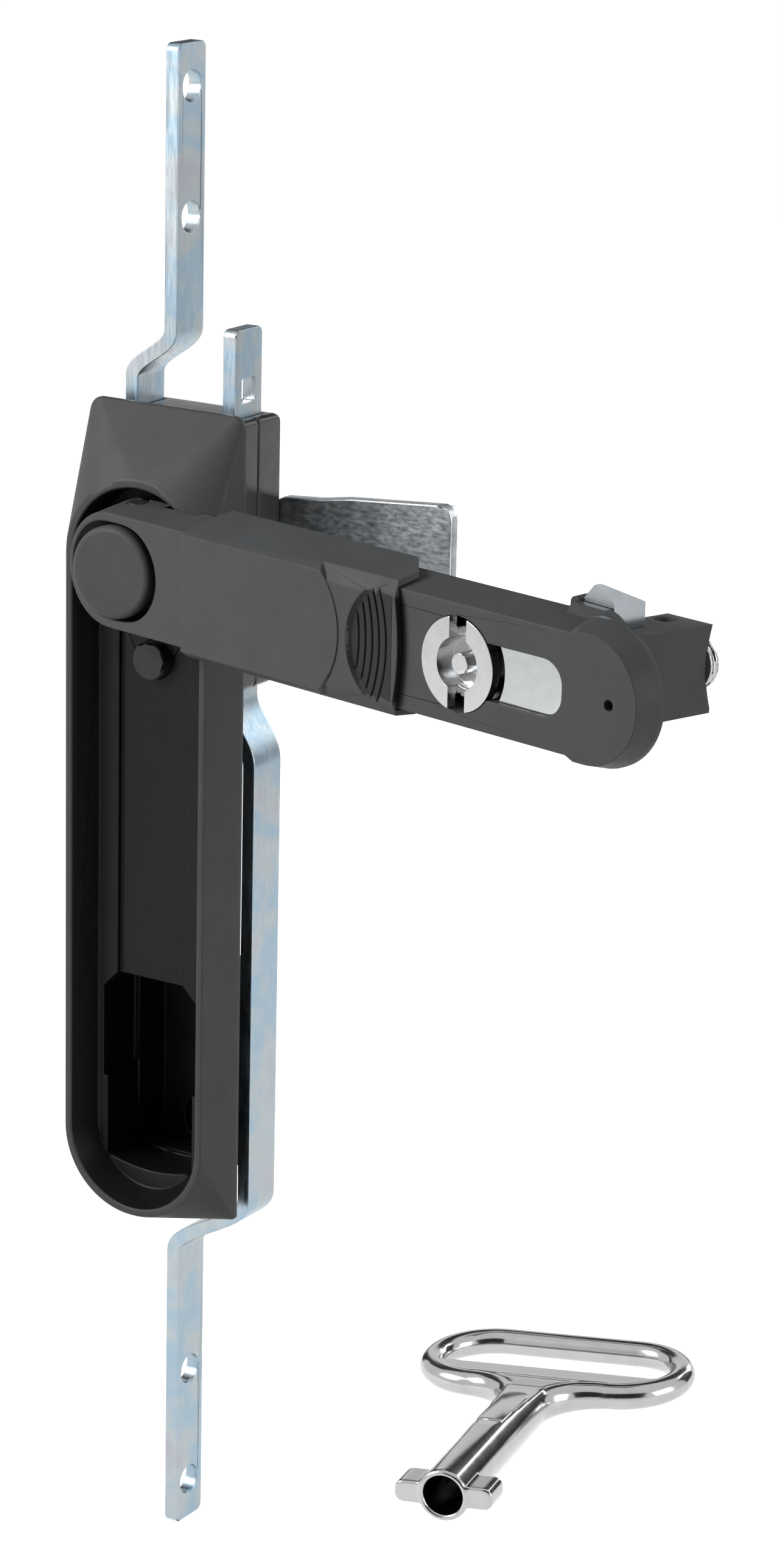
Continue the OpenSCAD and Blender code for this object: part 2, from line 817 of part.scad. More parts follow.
// Block behind the lever's end that guides the latch bolt and carries the chromed pin
module lock_block() {
    hollow_r = 22;
    collar_r = 1.1;
    collar_d = 4;
    collar_s = bolt_s0 - slide_gap - collar_r;
    collar_z = lever_back_half + 0.8;
    counterbore_r = 2.1;
    counterbore = 2.2;
    back_up = block_up - block_lean;
    color("dimgray")
        at_lever()
            difference() {
                union() {
                    along_x(block_s0, block_s1)
                        polygon([[lever_y1, -block_down], [block_y1, -block_down - block_lean],
                            [block_y1, back_up], [lever_y1, block_up]]);
                    box(lever_l, block_s1, end_y1, lever_y1 + 0.1, -block_down, block_up);
                    box(guide_s0, block_s0 + 0.1, lever_y1, guide_y1, -block_down, back_up);
                    box(collar_s - collar_r, collar_s + collar_r, lever_y1, lever_y1 + collar_d, 0, collar_z);
                    translate([collar_s, 0, collar_z])
                        post(collar_r, lever_y1, lever_y1 + collar_d);
                }
                box(bolt_s0 - slide_gap, bolt_s0 + bolt_l + slide_gap, bolt_y0 - slide_gap,
                    bolt_y0 + bolt_d + slide_gap, bolt_z0 - bolt_travel - eps, far);
                translate([bolt_mid_s, bolt_mid_y, 0])
                    upright(2.2, spring_z0, 0);
                translate([block_s0 - 1, block_y1 + hollow_r - block_hollow, nose_z])
                    rotate([0, 90, 0])
                        cylinder(r = hollow_r, h = block_l + 2);
                translate([nose_s, 0, nose_z]) {
                    post(nose_shank_r + fit_gap, guide_y1 + 1, block_y1);
                    post(nose_d / 2 + fit_gap, nose_y0, block_y1 + 1);
                }
                translate([screw_s, screw_y, 0]) {
                    upright(fixing_r + fit_gap, -far, far);
                    upright(counterbore_r, back_up - counterbore, far);
                }
            }
}

// Profile cylinder, sunk round the disc that covers its round part
module cylinder_body() {
    pit_r = round_d / 2 + 1.8;
    color("silver")
        at_lever()
            difference() {
                union() {
                    along_y(plate_y, lever_y1)
                        profile_2d(0);
                    translate([insert_s, 0, 0])
                        post(round_d / 2, pit_y1, barrel_y1 - 0.5);
                }
                translate([insert_s, 0, 0]) {
                    post(pit_r, plate_y - 1, pit_y1);
                    post(barrel_r + run_gap, plate_y - 1, barrel_y1 + 1);
                }
            }
}

// Slotted disc and barrel with the pin that centres the key
module lock_rotor() {
    floor_y = face_y + 4.2;
    slot_y1 = face_y + 2.6;
    pin_r = 1.9;
    color("silver")
        at_lever()
            translate([insert_s, 0, 0])
                difference() {
                    union() {
                        post(round_d / 2, face_y, disc_y1);
                        post(barrel_r, disc_y1 - 0.2, barrel_y1);
                    }
                    difference() {
                        union() {
                            post(keyway_r, face_y - 1, floor_y);
                            box(-keyway_w / 2, keyway_w / 2, face_y - 1, slot_y1, -round_d, round_d);
                        }
                        post(pin_r, face_y + 0.7, floor_y + 1);
                    }
                }
}

module rotor_cam() {
    color("silver")
        at_lever()
            translate([insert_s, 0, 0])
                along_y(barrel_y1, barrel_y1 + 2)
                    union() {
                        circle(barrel_r - 0.5);
                        translate([0, -2])
                            square([round_d / 2 + 1.5, 4]);
                    }
}

// Sprung latch bolt with a point that slopes to both sides and to the back
module latch_bolt() {
    tip_s = 4.1;
    tip_flat = 1.8;
    back_drop = 3.8;
    color("lightgray")
        at_lever()
            intersection() {
                along_y(bolt_y0, bolt_y0 + bolt_d)
                    translate([bolt_s0, 0])
                        polygon([[0, bolt_z0], [bolt_l, bolt_z0], [bolt_l, bolt_shoulder], [tip_s, bolt_tip],
                            [tip_s - tip_flat, bolt_tip - 0.5], [0, bolt_shoulder]]);
                along_x(bolt_s0, bolt_s0 + bolt_l)
                    translate([bolt_y0, 0])
                        polygon([[0, bolt_z0], [bolt_d, bolt_z0], [bolt_d, bolt_tip - back_drop],
                            [0, bolt_tip]]);
            }
}

// Coil spring that pushes the latch bolt out, as its outer sleeve
module bolt_spring() {
    color("silver")
        at_lever()
            translate([bolt_mid_s, bolt_mid_y, 0])
                difference() {
                    upright(2, spring_z0, bolt_z0 - 0.1);
                    upright(1.3, spring_z0 - 1, bolt_z0 + 1);
                }
}

module fixing_screw() {
    head_z = block_up - block_lean - 2.4;
    socket = 1.4;
    color("silver")
        at_lever()
            translate([screw_s, screw_y, 0])
                difference() {
                    upright(fixing_r, -block_down + 0.2, head_z);
                    translate([0, 0, head_z - socket])
                        cylinder(r = 0.9, h = socket + 1, $fn = 6);
                }
}

// Chromed pin with a grooved round head behind the block
module lock_nose() {
    r = nose_d / 2;
    groove = 0.35;
    chamfer = 0.6;
    head_l = block_hollow + 1.3;
    color("silver")
        at_lever()
            translate([nose_s, 0, nose_z]) {
                post(nose_shank_r, guide_y1 + 1, nose_y0 + 0.1);
                translate([0, nose_y0, 0])
                    rotate([-90, 0, 0])
                        rotate_extrude()
                            polygon([[0, 0], [r, 0], [r, 0.8], [r - groove, 1], [r - groove, 1.3], [r, 1.5],
                                [r, head_l - chamfer], [r - chamfer, head_l], [0, head_l]]);
            }
}

// Outer section of the sliding cover: flat front, bevels and flaring sides
module cover_outline_2d(front, half) {
    shoulder = lever_half + cover_gap + cover_t;
    foot = lever_back_half + cover_gap + cover_t;
    foot_y = lever_y1 + cover_gap + cover_t;
    polygon([[front, -half], [lever_y0, -shoulder], [foot_y, -foot], [foot_y, foot], [lever_y0, shoulder],
        [front, half]]);
}

// Section of the sliding cover across the lever, hooked behind its back edges
module cover_2d() {
    lip = 2;
    difference() {
        cover_outline_2d(cover_front, cover_half);
        polygon([[lever_y0 - cover_gap, -lever_half - cover_gap],
            [lever_y1 + cover_gap, -lever_back_half - cover_gap],
            [lever_y1 + cover_gap, lever_back_half + cover_gap],
            [lever_y0 - cover_gap, lever_half + cover_gap]]);
        translate([lever_y1, lip - lever_back_half])
            square([far, 2 * (lever_back_half - lip)]);
    }
}

// Space of the thumb scoop: a round slanting wall on the left, a floor that rises to the right
module thumb_scoop(more) {
    wall_r = 12.3;
    wall_slope = 1.36;
    over = 1;
    deep = 1.1;
    shallow = 0.35;
    left_s = cover_s1 - 13.3;
    right_s = cover_s1 - 1.5;
    wall_l = over + deep + more;
    intersection() {
        translate([left_s + wall_r, cover_front - over, 0])
            rotate([-90, 0, 0])
                cylinder(h = wall_l, r1 = wall_r + over * wall_slope,
                    r2 = wall_r + (over - wall_l) * wall_slope);
        translate([0, 0, -far])
            linear_extrude(2 * far)
                polygon([[left_s - 3, cover_front - over], [left_s - 3, cover_front + deep + more],
                    [left_s, cover_front + deep + more], [right_s, cover_front + shallow + more],
                    [right_s, cover_front - over]]);
    }
}

module slide_cover() {
    pad_s = cover_s1 - 14.6;
    pad_r = 15.5;
    rib_s = cover_s1 - 9.9;
    rib_pitch = 1.8;
    rib_r = 26;
    groove_w = 0.4;
    groove_cut = 0.35;
    end_r = 50;
    rake_y0 = lever_y0 + 2.5;
    rake_l = 11;
    color("dimgray")
        at_lever()
            difference() {
                along_x(cover_s, cover_s1)
                    cover_2d();
                // The grip end is narrower and lower than the pad, from an arc onwards
                intersection() {
                    along_y(cover_front - 1, lever_y0)
                        difference() {
                            translate([pad_s - pad_r / 2, -far])
                                square([far, 2 * far]);
                            translate([pad_s - pad_r, 0])
                                circle(pad_r);
                        }
                    along_x(cover_s, cover_s1 + 1)
                        difference() {
                            translate([cover_front - 1, -far])
                                square([lever_y0 - cover_front + 1, 2 * far]);
                            cover_outline_2d(grip_front, grip_half);
                        }
                }
                thumb_scoop(0);
                intersection() {
                    thumb_scoop(groove_cut);
                    along_y(cover_front - 1, lever_y0)
                        for (i = [0:grip_ribs - 1])
                            translate([rib_s + i * rib_pitch - rib_r, 0])
                                difference() {
                                    circle(rib_r);
                                    circle(rib_r - groove_w);
                                }
                }
                // Round end of the front, and raked ends of the two sides
                along_y(cover_front - 1, lever_y1 + far)
                    difference() {
                        translate([cover_s1 - 5, -far])
                            square([far, 2 * far]);
                        translate([cover_s1 - end_r, 0])
                            circle(end_r, $fn = 180);
                    }
                translate([0, 0, -far])
                    linear_extrude(2 * far)
                        polygon([[cover_s1 + 1, rake_y0], [cover_s1 + 1, rake_y0 + rake_l],
                            [cover_s1 + 1 - rake_l, rake_y0 + rake_l]]);
            }
}

// The frame of the key: X from its mouth towards the ring, Z up
module at_key() {
    translate(key_at)
        rotate(key_turn)
            children();
}

module ring_half(side) {
    arc_r = ring_l / 2 - ring_d / 2;
    reach = ring_w / 2 - ring_l / 2;
    translate([ring_mid, side * reach, 0])
        rotate([0, 0, side > 0 ? 0 : 180])
            rotate_extrude(angle = 180)
                translate([arc_r, 0])
                    circle(d = ring_d);
}

module key() {
    arc_r = ring_l / 2 - ring_d / 2;
    reach = ring_w / 2 - ring_l / 2;
    bit_l = 6;
    bit_t = 3.6;
    web_t = 3.6;
    web_s1 = ring_mid - 5;
    fillet_r = 8;
    fillet_s = ring_mid - ring_l / 2 - fillet_r;
    web_half = key_d / 2 + fillet_r;
    bottom_l = 12;
    color("silver")
        at_key()
            difference() {
                union() {
                    rotate([0, 90, 0])
                        cylinder(d = key_d, h = barrel_l);
                    for (side = [-1, 1])
                        ring_half(side);
                    for (x = [-1, 1])
                        translate([ring_mid + x * arc_r, -reach, 0])
                            rotate([-90, 0, 0])
                                cylinder(d = ring_d, h = 2 * reach);
                    // Flat web that spreads from the barrel to the ring
                    translate([0, 0, -web_t / 2])
                        linear_extrude(web_t)
                            difference() {
                                translate([fillet_s, -web_half])
                                    square([web_s1 - fillet_s, 2 * web_half]);
                                for (side = [-1, 1])
                                    translate([fillet_s, side * web_half])
                                        circle(fillet_r);
                            }
                    translate([0, -key_span / 2, -bit_t / 2])
                        cube([bit_l, key_span, bit_t]);
                }
                translate([-1, 0, 0])
                    rotate([0, 90, 0])
                        cylinder(d = key_bore, h = barrel_l - bottom_l + 1);
            }
}

base_dish();
door_gasket();
rest_bumper();
gear_case_front();
gear_case_rear();
case_screws();
spindle();
pivot_cap();
hinge_pin();
thrust_washer();
pinion();
cam_tongue();
tongue_washer();
tongue_screw();
upper_rod();
lower_rod();
lever_body();
end_cap();
lock_block();
cylinder_body();
lock_rotor();
rotor_cam();
latch_bolt();
bolt_spring();
fixing_screw();
lock_nose();
slide_cover();
key();
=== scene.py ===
"""Dress a swing-handle rod lock for a cabinet door: finishes, softened edges and small repeated details.

Every length is in metres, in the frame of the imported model: X to the right, Y back through the door, Z up.
"""

import json
import logging
import math
from dataclasses import dataclass
from enum import Enum
from typing import Optional

import bmesh
import bpy
from mathutils import Euler, Matrix, Vector


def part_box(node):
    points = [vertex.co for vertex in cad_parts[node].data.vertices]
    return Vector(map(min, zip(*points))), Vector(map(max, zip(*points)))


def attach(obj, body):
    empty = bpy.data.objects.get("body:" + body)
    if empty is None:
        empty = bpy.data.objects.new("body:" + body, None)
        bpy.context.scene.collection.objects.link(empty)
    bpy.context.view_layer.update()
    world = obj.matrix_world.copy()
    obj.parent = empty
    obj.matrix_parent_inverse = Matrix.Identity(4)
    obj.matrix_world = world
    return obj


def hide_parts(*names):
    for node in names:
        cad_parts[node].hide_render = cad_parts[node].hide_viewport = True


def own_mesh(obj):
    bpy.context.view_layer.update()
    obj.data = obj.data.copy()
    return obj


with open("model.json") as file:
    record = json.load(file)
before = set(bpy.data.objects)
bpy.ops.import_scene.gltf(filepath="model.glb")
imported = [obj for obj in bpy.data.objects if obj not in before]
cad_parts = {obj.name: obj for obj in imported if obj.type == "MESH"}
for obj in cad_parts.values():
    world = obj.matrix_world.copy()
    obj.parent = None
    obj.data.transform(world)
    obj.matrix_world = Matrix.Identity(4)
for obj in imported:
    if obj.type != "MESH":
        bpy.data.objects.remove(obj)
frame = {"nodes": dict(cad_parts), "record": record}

LOG = logging.getLogger("handle_lock")
MM = 0.001
PHOTO_WIDTH = 1288
PHOTO_HEIGHT = 2576
EDGE_SAMPLES = 4
WELD = 0.002 * MM
WHITE = (1.0, 1.0, 1.0, 1.0)

Colour = tuple[float, float, float]
Point = tuple[float, float, float]


class Body(str, Enum):
    """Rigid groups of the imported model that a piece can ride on."""

    MOUNTING = "mounting"
    HANDLE = "handle"
    LEVER = "lever"
    COVER = "cover"
    ROTOR = "rotor"
    BOLT = "bolt"
    UPPER_ROD = "upper_rod"
    LOWER_ROD = "lower_rod"
    KEY = "key"


class Slot(str, Enum):
    """Material slots of the record."""

    NYLON = "black_nylon"
    POWDER = "black_zinc"
    RUBBER = "black_rubber"
    ZINC_STEEL = "zinc_steel"
    CAST_ZINC = "cast_zinc"
    CHROME = "bright_chrome"


class NodeBench:
    """Short ways to add and join nodes of any tree."""

    def __init__(self, tree: bpy.types.NodeTree) -> None:
        """Keep the tree.

        Args:
            tree: The tree that nodes go into.
        """
        self.tree = tree

    def add(self, kind: str, **values: object) -> bpy.types.Node:
        """Add a node and set its inputs and properties.

        Args:
            kind: Blender's name of the node type.
            values: Input values by socket name with underscores for spaces, or properties of the node.

        Returns:
            The new node.
        """
        node = self.tree.nodes.new(kind)
        for key, value in values.items():
            socket = node.inputs.get(key.replace("_", " "))
            if socket is None:
                setattr(node, key, value)
            elif isinstance(value, bpy.types.NodeSocket):
                self.tree.links.new(value, socket)
            else:
                socket.default_value = value
        return node

    def link(self, start: bpy.types.NodeSocket, end: bpy.types.NodeSocket) -> None:
        """Join two sockets.

        Args:
            start: The output socket.
            end: The input socket.
        """
        self.tree.links.new(start, end)


class Graph(NodeBench):
    """A material's node tree with the patterns that the finishes share."""

    fineness: float = 0.55
    middle_low: float = 0.3
    middle_high: float = 0.7

    def __init__(self, name: str) -> None:
        """Start an empty tree with an output.

        Args:
            name: Name of the material.
        """
        self.material = bpy.data.materials.new(name)
        self.material.use_nodes = True
        super().__init__(self.material.node_tree)
        self.tree.nodes.clear()
        self.output = self.tree.nodes.new("ShaderNodeOutputMaterial")

    def place(self, stretch: Point = (1.0, 1.0, 1.0)) -> bpy.types.NodeSocket:
        """Give the piece's own coordinates, stretched along its axes.

        Args:
            stretch: Factor on each axis.

        Returns:
            The vector socket.
        """
        where = self.add("ShaderNodeTexCoord")
        mapped = self.add("ShaderNodeMapping", Vector=where.outputs["Object"], Scale=stretch)
        return mapped.outputs["Vector"]

    def noise(self, where: bpy.types.NodeSocket, size: float, detail: float = 3.0) -> bpy.types.NodeSocket:
        """Add a cloud pattern.

        Args:
            where: Coordinates of the pattern.
            size: Size of a patch in metres.
            detail: Octaves of finer detail.

        Returns:
            The value socket, from 0 to 1.
        """
        node = self.add(
            "ShaderNodeTexNoise", Vector=where, Scale=1.0 / size, Detail=detail, Roughness=self.fineness
        )
        return node.outputs["Fac"]

    def ramp(self, value: bpy.types.NodeSocket, *stops: tuple[float, Colour]) -> bpy.types.NodeSocket:
        """Colour a value.

        Args:
            value: The value socket.
            stops: Pairs of place and linear colour.

        Returns:
            The colour socket.
        """
        node = self.add("ShaderNodeValToRGB", Fac=value)
        ends = node.color_ramp.elements
        while len(ends) < len(stops):
            ends.new(0.5)
        for end, (place, colour) in zip(ends, stops):
            end.position = place
            end.color = (*colour, 1.0)
        return node.outputs["Color"]

    def span(self, value: bpy.types.NodeSocket, low: float, high: float) -> bpy.types.NodeSocket:
        """Spread a pattern's middle range over two values.

        Args:
            value: The pattern, from 0 to 1.
            low: Value at the pattern's low end.
            high: Value at the pattern's high end.

        Returns:
            The value socket.
        """
        node = self.add("ShaderNodeMapRange", Value=value)
        node.inputs["From Min"].default_value = self.middle_low
        node.inputs["From Max"].default_value = self.middle_high
        node.inputs["To Min"].default_value = low
        node.inputs["To Max"].default_value = high
        return node.outputs["Result"]

    def bump(
        self, height: bpy.types.NodeSocket, depth: float, strength: float, edge: float = 0.0
    ) -> bpy.types.NodeSocket:
        """Turn a height pattern into a normal.

        Args:
            height: The pattern.
            depth: Height of the pattern in metres.
            strength: Share of the effect.
            edge: Radius in metres that worn edges shade with, or 0 for none.

        Returns:
            The normal socket.
        """
        node = self.add("ShaderNodeBump", Height=height, Distance=depth, Strength=strength)
        if edge:
            worn = self.add("ShaderNodeBevel", samples=EDGE_SAMPLES, Radius=edge)
            self.link(worn.outputs["Normal"], node.inputs["Normal"])
        return node.outputs["Normal"]

    def surface(self, **values: object) -> bpy.types.Material:
        """Finish the tree with a principled surface.

        Args:
            values: Inputs of the surface.

        Returns:
            The material.
        """
        shader = self.add("ShaderNodeBsdfPrincipled", **values)
        self.link(shader.outputs["BSDF"], self.output.inputs["Surface"])
        return self.material


@dataclass(frozen=True)
class GrainedFinish:
    """A moulded or powder-coated surface with a fine spark grain."""

    name: str
    dark: Colour
    light: Colour
    roughness: float
    specular: float
    grain: float
    grain_depth: float
    grain_strength: float = 0.5
    edge: float = 0.3 * MM
    cloud: float = 9 * MM
    dark_end: float = 0.3
    light_end: float = 0.72
    haze: float = 3 * MM
    haze_swing: float = 0.05

    def material(self) -> bpy.types.Material:
        """Build the material.

        Returns:
            The material, on the piece's own coordinates.
        """
        graph = Graph(self.name)
        where = graph.place()
        cloud = graph.noise(where, self.cloud, detail=4.0)
        grain = graph.noise(where, self.grain, detail=2.0)
        haze = graph.noise(where, self.haze)
        colour = graph.ramp(cloud, (self.dark_end, self.dark), (self.light_end, self.light))
        rough = graph.span(haze, self.roughness - self.haze_swing, self.roughness + self.haze_swing)
        normal = graph.bump(grain, self.grain_depth, self.grain_strength, self.edge)
        return graph.surface(
            Base_Color=colour, Roughness=rough, Normal=normal, Specular_IOR_Level=self.specular
        )


@dataclass(frozen=True)
class PlatedFinish:
    """Passivated zinc on steel, with drifting tints and fine streaks."""

    name: str
    pale: Colour
    blue: Colour
    violet: Colour
    roughness: float
    patch: float
    streak: Point
    streak_width: float = 0.7 * MM
    streak_depth: float = 0.008 * MM
    streak_strength: float = 0.25
    smoother: float = 0.08
    duller: float = 0.12
    edge: float = 0.15 * MM
    tint_ends: tuple[float, float, float, float] = (0.30, 0.44, 0.56, 0.70)

    def material(self) -> bpy.types.Material:
        """Build the material.

        Returns:
            The material, on the piece's own coordinates.
        """
        graph = Graph(self.name)
        where = graph.place()
        along = graph.place(self.streak)
        drift = graph.noise(where, self.patch, detail=4.0)
        lines = graph.noise(along, self.streak_width, detail=4.0)
        tints = (self.violet, self.pale, self.blue, self.pale)
        colour = graph.ramp(drift, *zip(self.tint_ends, tints))
        rough = graph.span(lines, self.roughness - self.smoother, self.roughness + self.duller)
        normal = graph.bump(lines, self.streak_depth, self.streak_strength, self.edge)
        return graph.surface(Base_Color=colour, Roughness=rough, Normal=normal, Metallic=1.0)


@dataclass(frozen=True)
class BrightFinish:
    """Chromed or polished metal with faint wiping marks."""

    name: str
    colour: Colour
    roughness: float
    ripple: float
    ripple_strength: float = 0.3
    swell: float = 4 * MM
    haze: float = 2.5 * MM
    haze_swing: float = 0.04
    deep_share: float = 0.93
    deep_end: float = 0.35
    bright_end: float = 0.65

    def material(self) -> bpy.types.Material:
        """Build the material.

        Returns:
            The material, on the piece's own coordinates.
        """
        graph = Graph(self.name)
        where = graph.place()
        haze = graph.noise(where, self.haze, detail=4.0)
        swell = graph.noise(where, self.swell, detail=2.0)
        deep = tuple(self.deep_share * part for part in self.colour)
        colour = graph.ramp(haze, (self.deep_end, deep), (self.bright_end, self.colour))
        rough = graph.span(haze, self.roughness, self.roughness + self.haze_swing)
        normal = graph.bump(swell, self.ripple, self.ripple_strength)
        return graph.surface(Base_Color=colour, Roughness=rough, Normal=normal, Metallic=1.0)


NYLON = GrainedFinish(
    "black_nylon_grain", dark=(0.053,) * 3, light=(0.062,) * 3, roughness=0.48, specular=0.18,
    grain=0.35 * MM, grain_depth=0.04 * MM
)
# Painted shade: a near-black nylon for the inside of the dish and the pocket, far darker than NYLON though
# the same plastic.
PAINTED_SHADE_NYLON = GrainedFinish(
    "painted_shade_black_nylon", dark=(0.004,) * 3, light=(0.006,) * 3, roughness=0.40, specular=0.16,
    grain=0.5 * MM, grain_depth=0.01 * MM
)
CASE_NYLON = GrainedFinish(
    "smooth_black_nylon", dark=(0.034,) * 3, light=(0.040,) * 3, roughness=0.17, specular=0.5,
    grain=0.5 * MM, grain_depth=0.003 * MM
)
POWDER = GrainedFinish(
    "black_powder_coat", dark=(0.062, 0.064, 0.066), light=(0.071, 0.073, 0.075),
    roughness=0.52, specular=0.14, grain=0.3 * MM, grain_depth=0.04 * MM
)
# Painted shade: a near-black powder coat for the sunk faces of the thumb scoop.
PAINTED_SHADE_POWDER = GrainedFinish(
    "painted_shade_powder_coat", dark=(0.011,) * 3, light=(0.015,) * 3, roughness=0.46, specular=0.2,
    grain=0.3 * MM, grain_depth=0.02 * MM
)
# A near-black steel, darker than the zinc steel elsewhere; the fixing screw that wears it sits deep in its
# hole.
DARK_STEEL = GrainedFinish(
    "dark_steel", dark=(0.030,) * 3, light=(0.036,) * 3, roughness=0.45, specular=0.4,
    grain=0.3 * MM, grain_depth=0.02 * MM
)
RUBBER = GrainedFinish(
    "soft_black_rubber", dark=(0.016,) * 3, light=(0.022,) * 3, roughness=0.62, specular=0.3,
    grain=0.5 * MM, grain_depth=0.03 * MM
)
SEAL = GrainedFinish(
    "black_seal_ring", dark=(0.006,) * 3, light=(0.009,) * 3, roughness=0.35, specular=0.4,
    grain=0.4 * MM, grain_depth=0.01 * MM
)
ACETAL = GrainedFinish(
    "pale_acetal", dark=(0.70, 0.69, 0.64), light=(0.78, 0.77, 0.72), roughness=0.4, specular=0.5,
    grain=0.6 * MM, grain_depth=0.01 * MM
)
ROD_ZINC = PlatedFinish(
    "rod_zinc", pale=(0.40, 0.44, 0.455), blue=(0.30, 0.405, 0.49), violet=(0.37, 0.38, 0.435),
    roughness=0.30, patch=14 * MM, streak=(1.0, 1.0, 0.12)
)
TONGUE_ZINC = PlatedFinish(
    "tongue_zinc", pale=(0.56, 0.59, 0.61), blue=(0.45, 0.49, 0.52), violet=(0.34, 0.37, 0.40),
    roughness=0.36, patch=12 * MM, streak=(0.4, 1.0, 1.0)
)
SCREW_ZINC = PlatedFinish(
    "screw_zinc", pale=(0.62, 0.65, 0.69), blue=(0.54, 0.62, 0.72), violet=(0.56, 0.56, 0.66),
    roughness=0.32, patch=3 * MM, streak=(1.0, 0.3, 1.0)
)
CAST_ZINC = PlatedFinish(
    "cast_zinc", pale=(0.52, 0.54, 0.56), blue=(0.46, 0.49, 0.52), violet=(0.44, 0.46, 0.49),
    roughness=0.28, patch=3 * MM, streak=(1.0, 1.0, 0.5)
)
BOLT_ZINC = BrightFinish("bolt_zinc", colour=(0.36, 0.385, 0.41), roughness=0.20, ripple=0.02 * MM)
CHROME = BrightFinish("bright_chrome", colour=(0.44, 0.45, 0.455), roughness=0.06, ripple=0.002 * MM)
ROTOR_CHROME = BrightFinish("satin_chrome", colour=(0.49, 0.495, 0.50), roughness=0.17, ripple=0.004 * MM)
KEY_CHROME = BrightFinish("key_chrome", colour=(0.46, 0.462, 0.465), roughness=0.13, ripple=0.02 * MM)


def stand(name: str, mesh: bpy.types.Mesh) -> bpy.types.Object:
    """Put a mesh into the scene, at the origin.

    Args:
        name: Name of the object and of its mesh.
        mesh: The mesh.

    Returns:
        The object.
    """
    mesh.name = name
    piece = bpy.data.objects.new(name, mesh)
    bpy.context.scene.collection.objects.link(piece)
    return piece


def skin(name: str, shell: bmesh.types.BMesh) -> bpy.types.Mesh:
    """Turn a shell's faces outwards and make it a mesh.

    Args:
        name: Name of the mesh.
        shell: The shell, used up here.

    Returns:
        The mesh.
    """
    bmesh.ops.recalc_face_normals(shell, faces=shell.faces)
    mesh = bpy.data.meshes.new(name)
    shell.to_mesh(mesh)
    shell.free()
    return mesh


def rectangle(name: str, half_width: float, half_height: float) -> bpy.types.Mesh:
    """Make a flat rectangle round the origin that faces up.

    Args:
        name: Name of the mesh.
        half_width: Half its width along X.
        half_height: Half its height along Y.

    Returns:
        The mesh.
    """
    mesh = bpy.data.meshes.new(name)
    corners = [(x * half_width, y * half_height, 0.0) for x, y in ((-1, -1), (1, -1), (1, 1), (-1, 1))]
    mesh.from_pydata(corners, [], [(0, 1, 2, 3)])
    return mesh


def loft(rings: list[list[Point]]) -> bmesh.types.BMesh:
    """Skin a row of rings that have equally many points, and close both ends.

    Args:
        rings: The rings, each a list of points in order.

    Returns:
        The closed shell.
    """
    shell = bmesh.new()
    rows = [[shell.verts.new(point) for point in ring] for ring in rings]
    count = len(rows[0])
    for near, far in zip(rows, rows[1:]):
        for i in range(count):
            j = (i + 1) % count
            shell.faces.new((near[i], near[j], far[j], far[i]))
    shell.faces.new(rows[0])
    shell.faces.new(rows[-1])
    return shell


def spread(start: float, end: float, steps: int) -> list[float]:
    """Give evenly spread values, with both ends.

    Args:
        start: First value.
        end: Last value.
        steps: How many steps lie between them.

    Returns:
        The values.
    """
    return [start + (end - start) * i / steps for i in range(steps + 1)]


class Blueprint(NodeBench):
    """A Geometry Nodes tree with named sizes, run once into a plain mesh."""

    crisp_angle: float = 50.0

    def __init__(self, name: str) -> None:
        """Start a tree that gives one geometry.

        Args:
            name: Name of the tree.
        """
        super().__init__(bpy.data.node_groups.new(name, "GeometryNodeTree"))
        self.tree.interface.new_socket("Geometry", in_out="OUTPUT", socket_type="NodeSocketGeometry")
        self.entry = self.tree.nodes.new("NodeGroupInput")
        self.exit = self.tree.nodes.new("NodeGroupOutput")
        self._values: dict[str, float] = {}

    def size(self, name: str, value: float) -> bpy.types.NodeSocket:
        """Add a named input.

        Args:
            name: What the size is.
            value: Its value, a whole number for a count.

        Returns:
            The socket that carries it.
        """
        kind = "NodeSocketInt" if isinstance(value, int) else "NodeSocketFloat"
        socket = self.tree.interface.new_socket(name, in_out="INPUT", socket_type=kind)
        self._values[socket.identifier] = value
        return self.entry.outputs[name]

    def run(self, name: str, shape: bpy.types.NodeSocket, material: bpy.types.Material) -> bpy.types.Object:
        """End the tree, run it and keep the result as a plain mesh.

        Args:
            name: Name of the new piece.
            shape: The geometry to keep.
            material: Its material.

        Returns:
            The new piece, at the origin.
        """
        whole = self.add("GeometryNodeRealizeInstances", Geometry=shape)
        painted = self.add("GeometryNodeSetMaterial", Geometry=whole.outputs[0], Material=material)
        self.link(painted.outputs[0], self.exit.inputs["Geometry"])
        piece = stand(name, bpy.data.meshes.new(name))
        modifier = piece.modifiers.new("blueprint", "NODES")
        modifier.node_group = self.tree
        for identifier, value in self._values.items():
            modifier[identifier] = value
        depsgraph = bpy.context.evaluated_depsgraph_get()
        mesh = bpy.data.meshes.new_from_object(piece.evaluated_get(depsgraph))
        piece.modifiers.clear()
        piece.data = mesh
        mesh.name = name
        mesh.shade_smooth()
        mesh.set_sharp_from_angle(angle=math.radians(self.crisp_angle))
        return piece


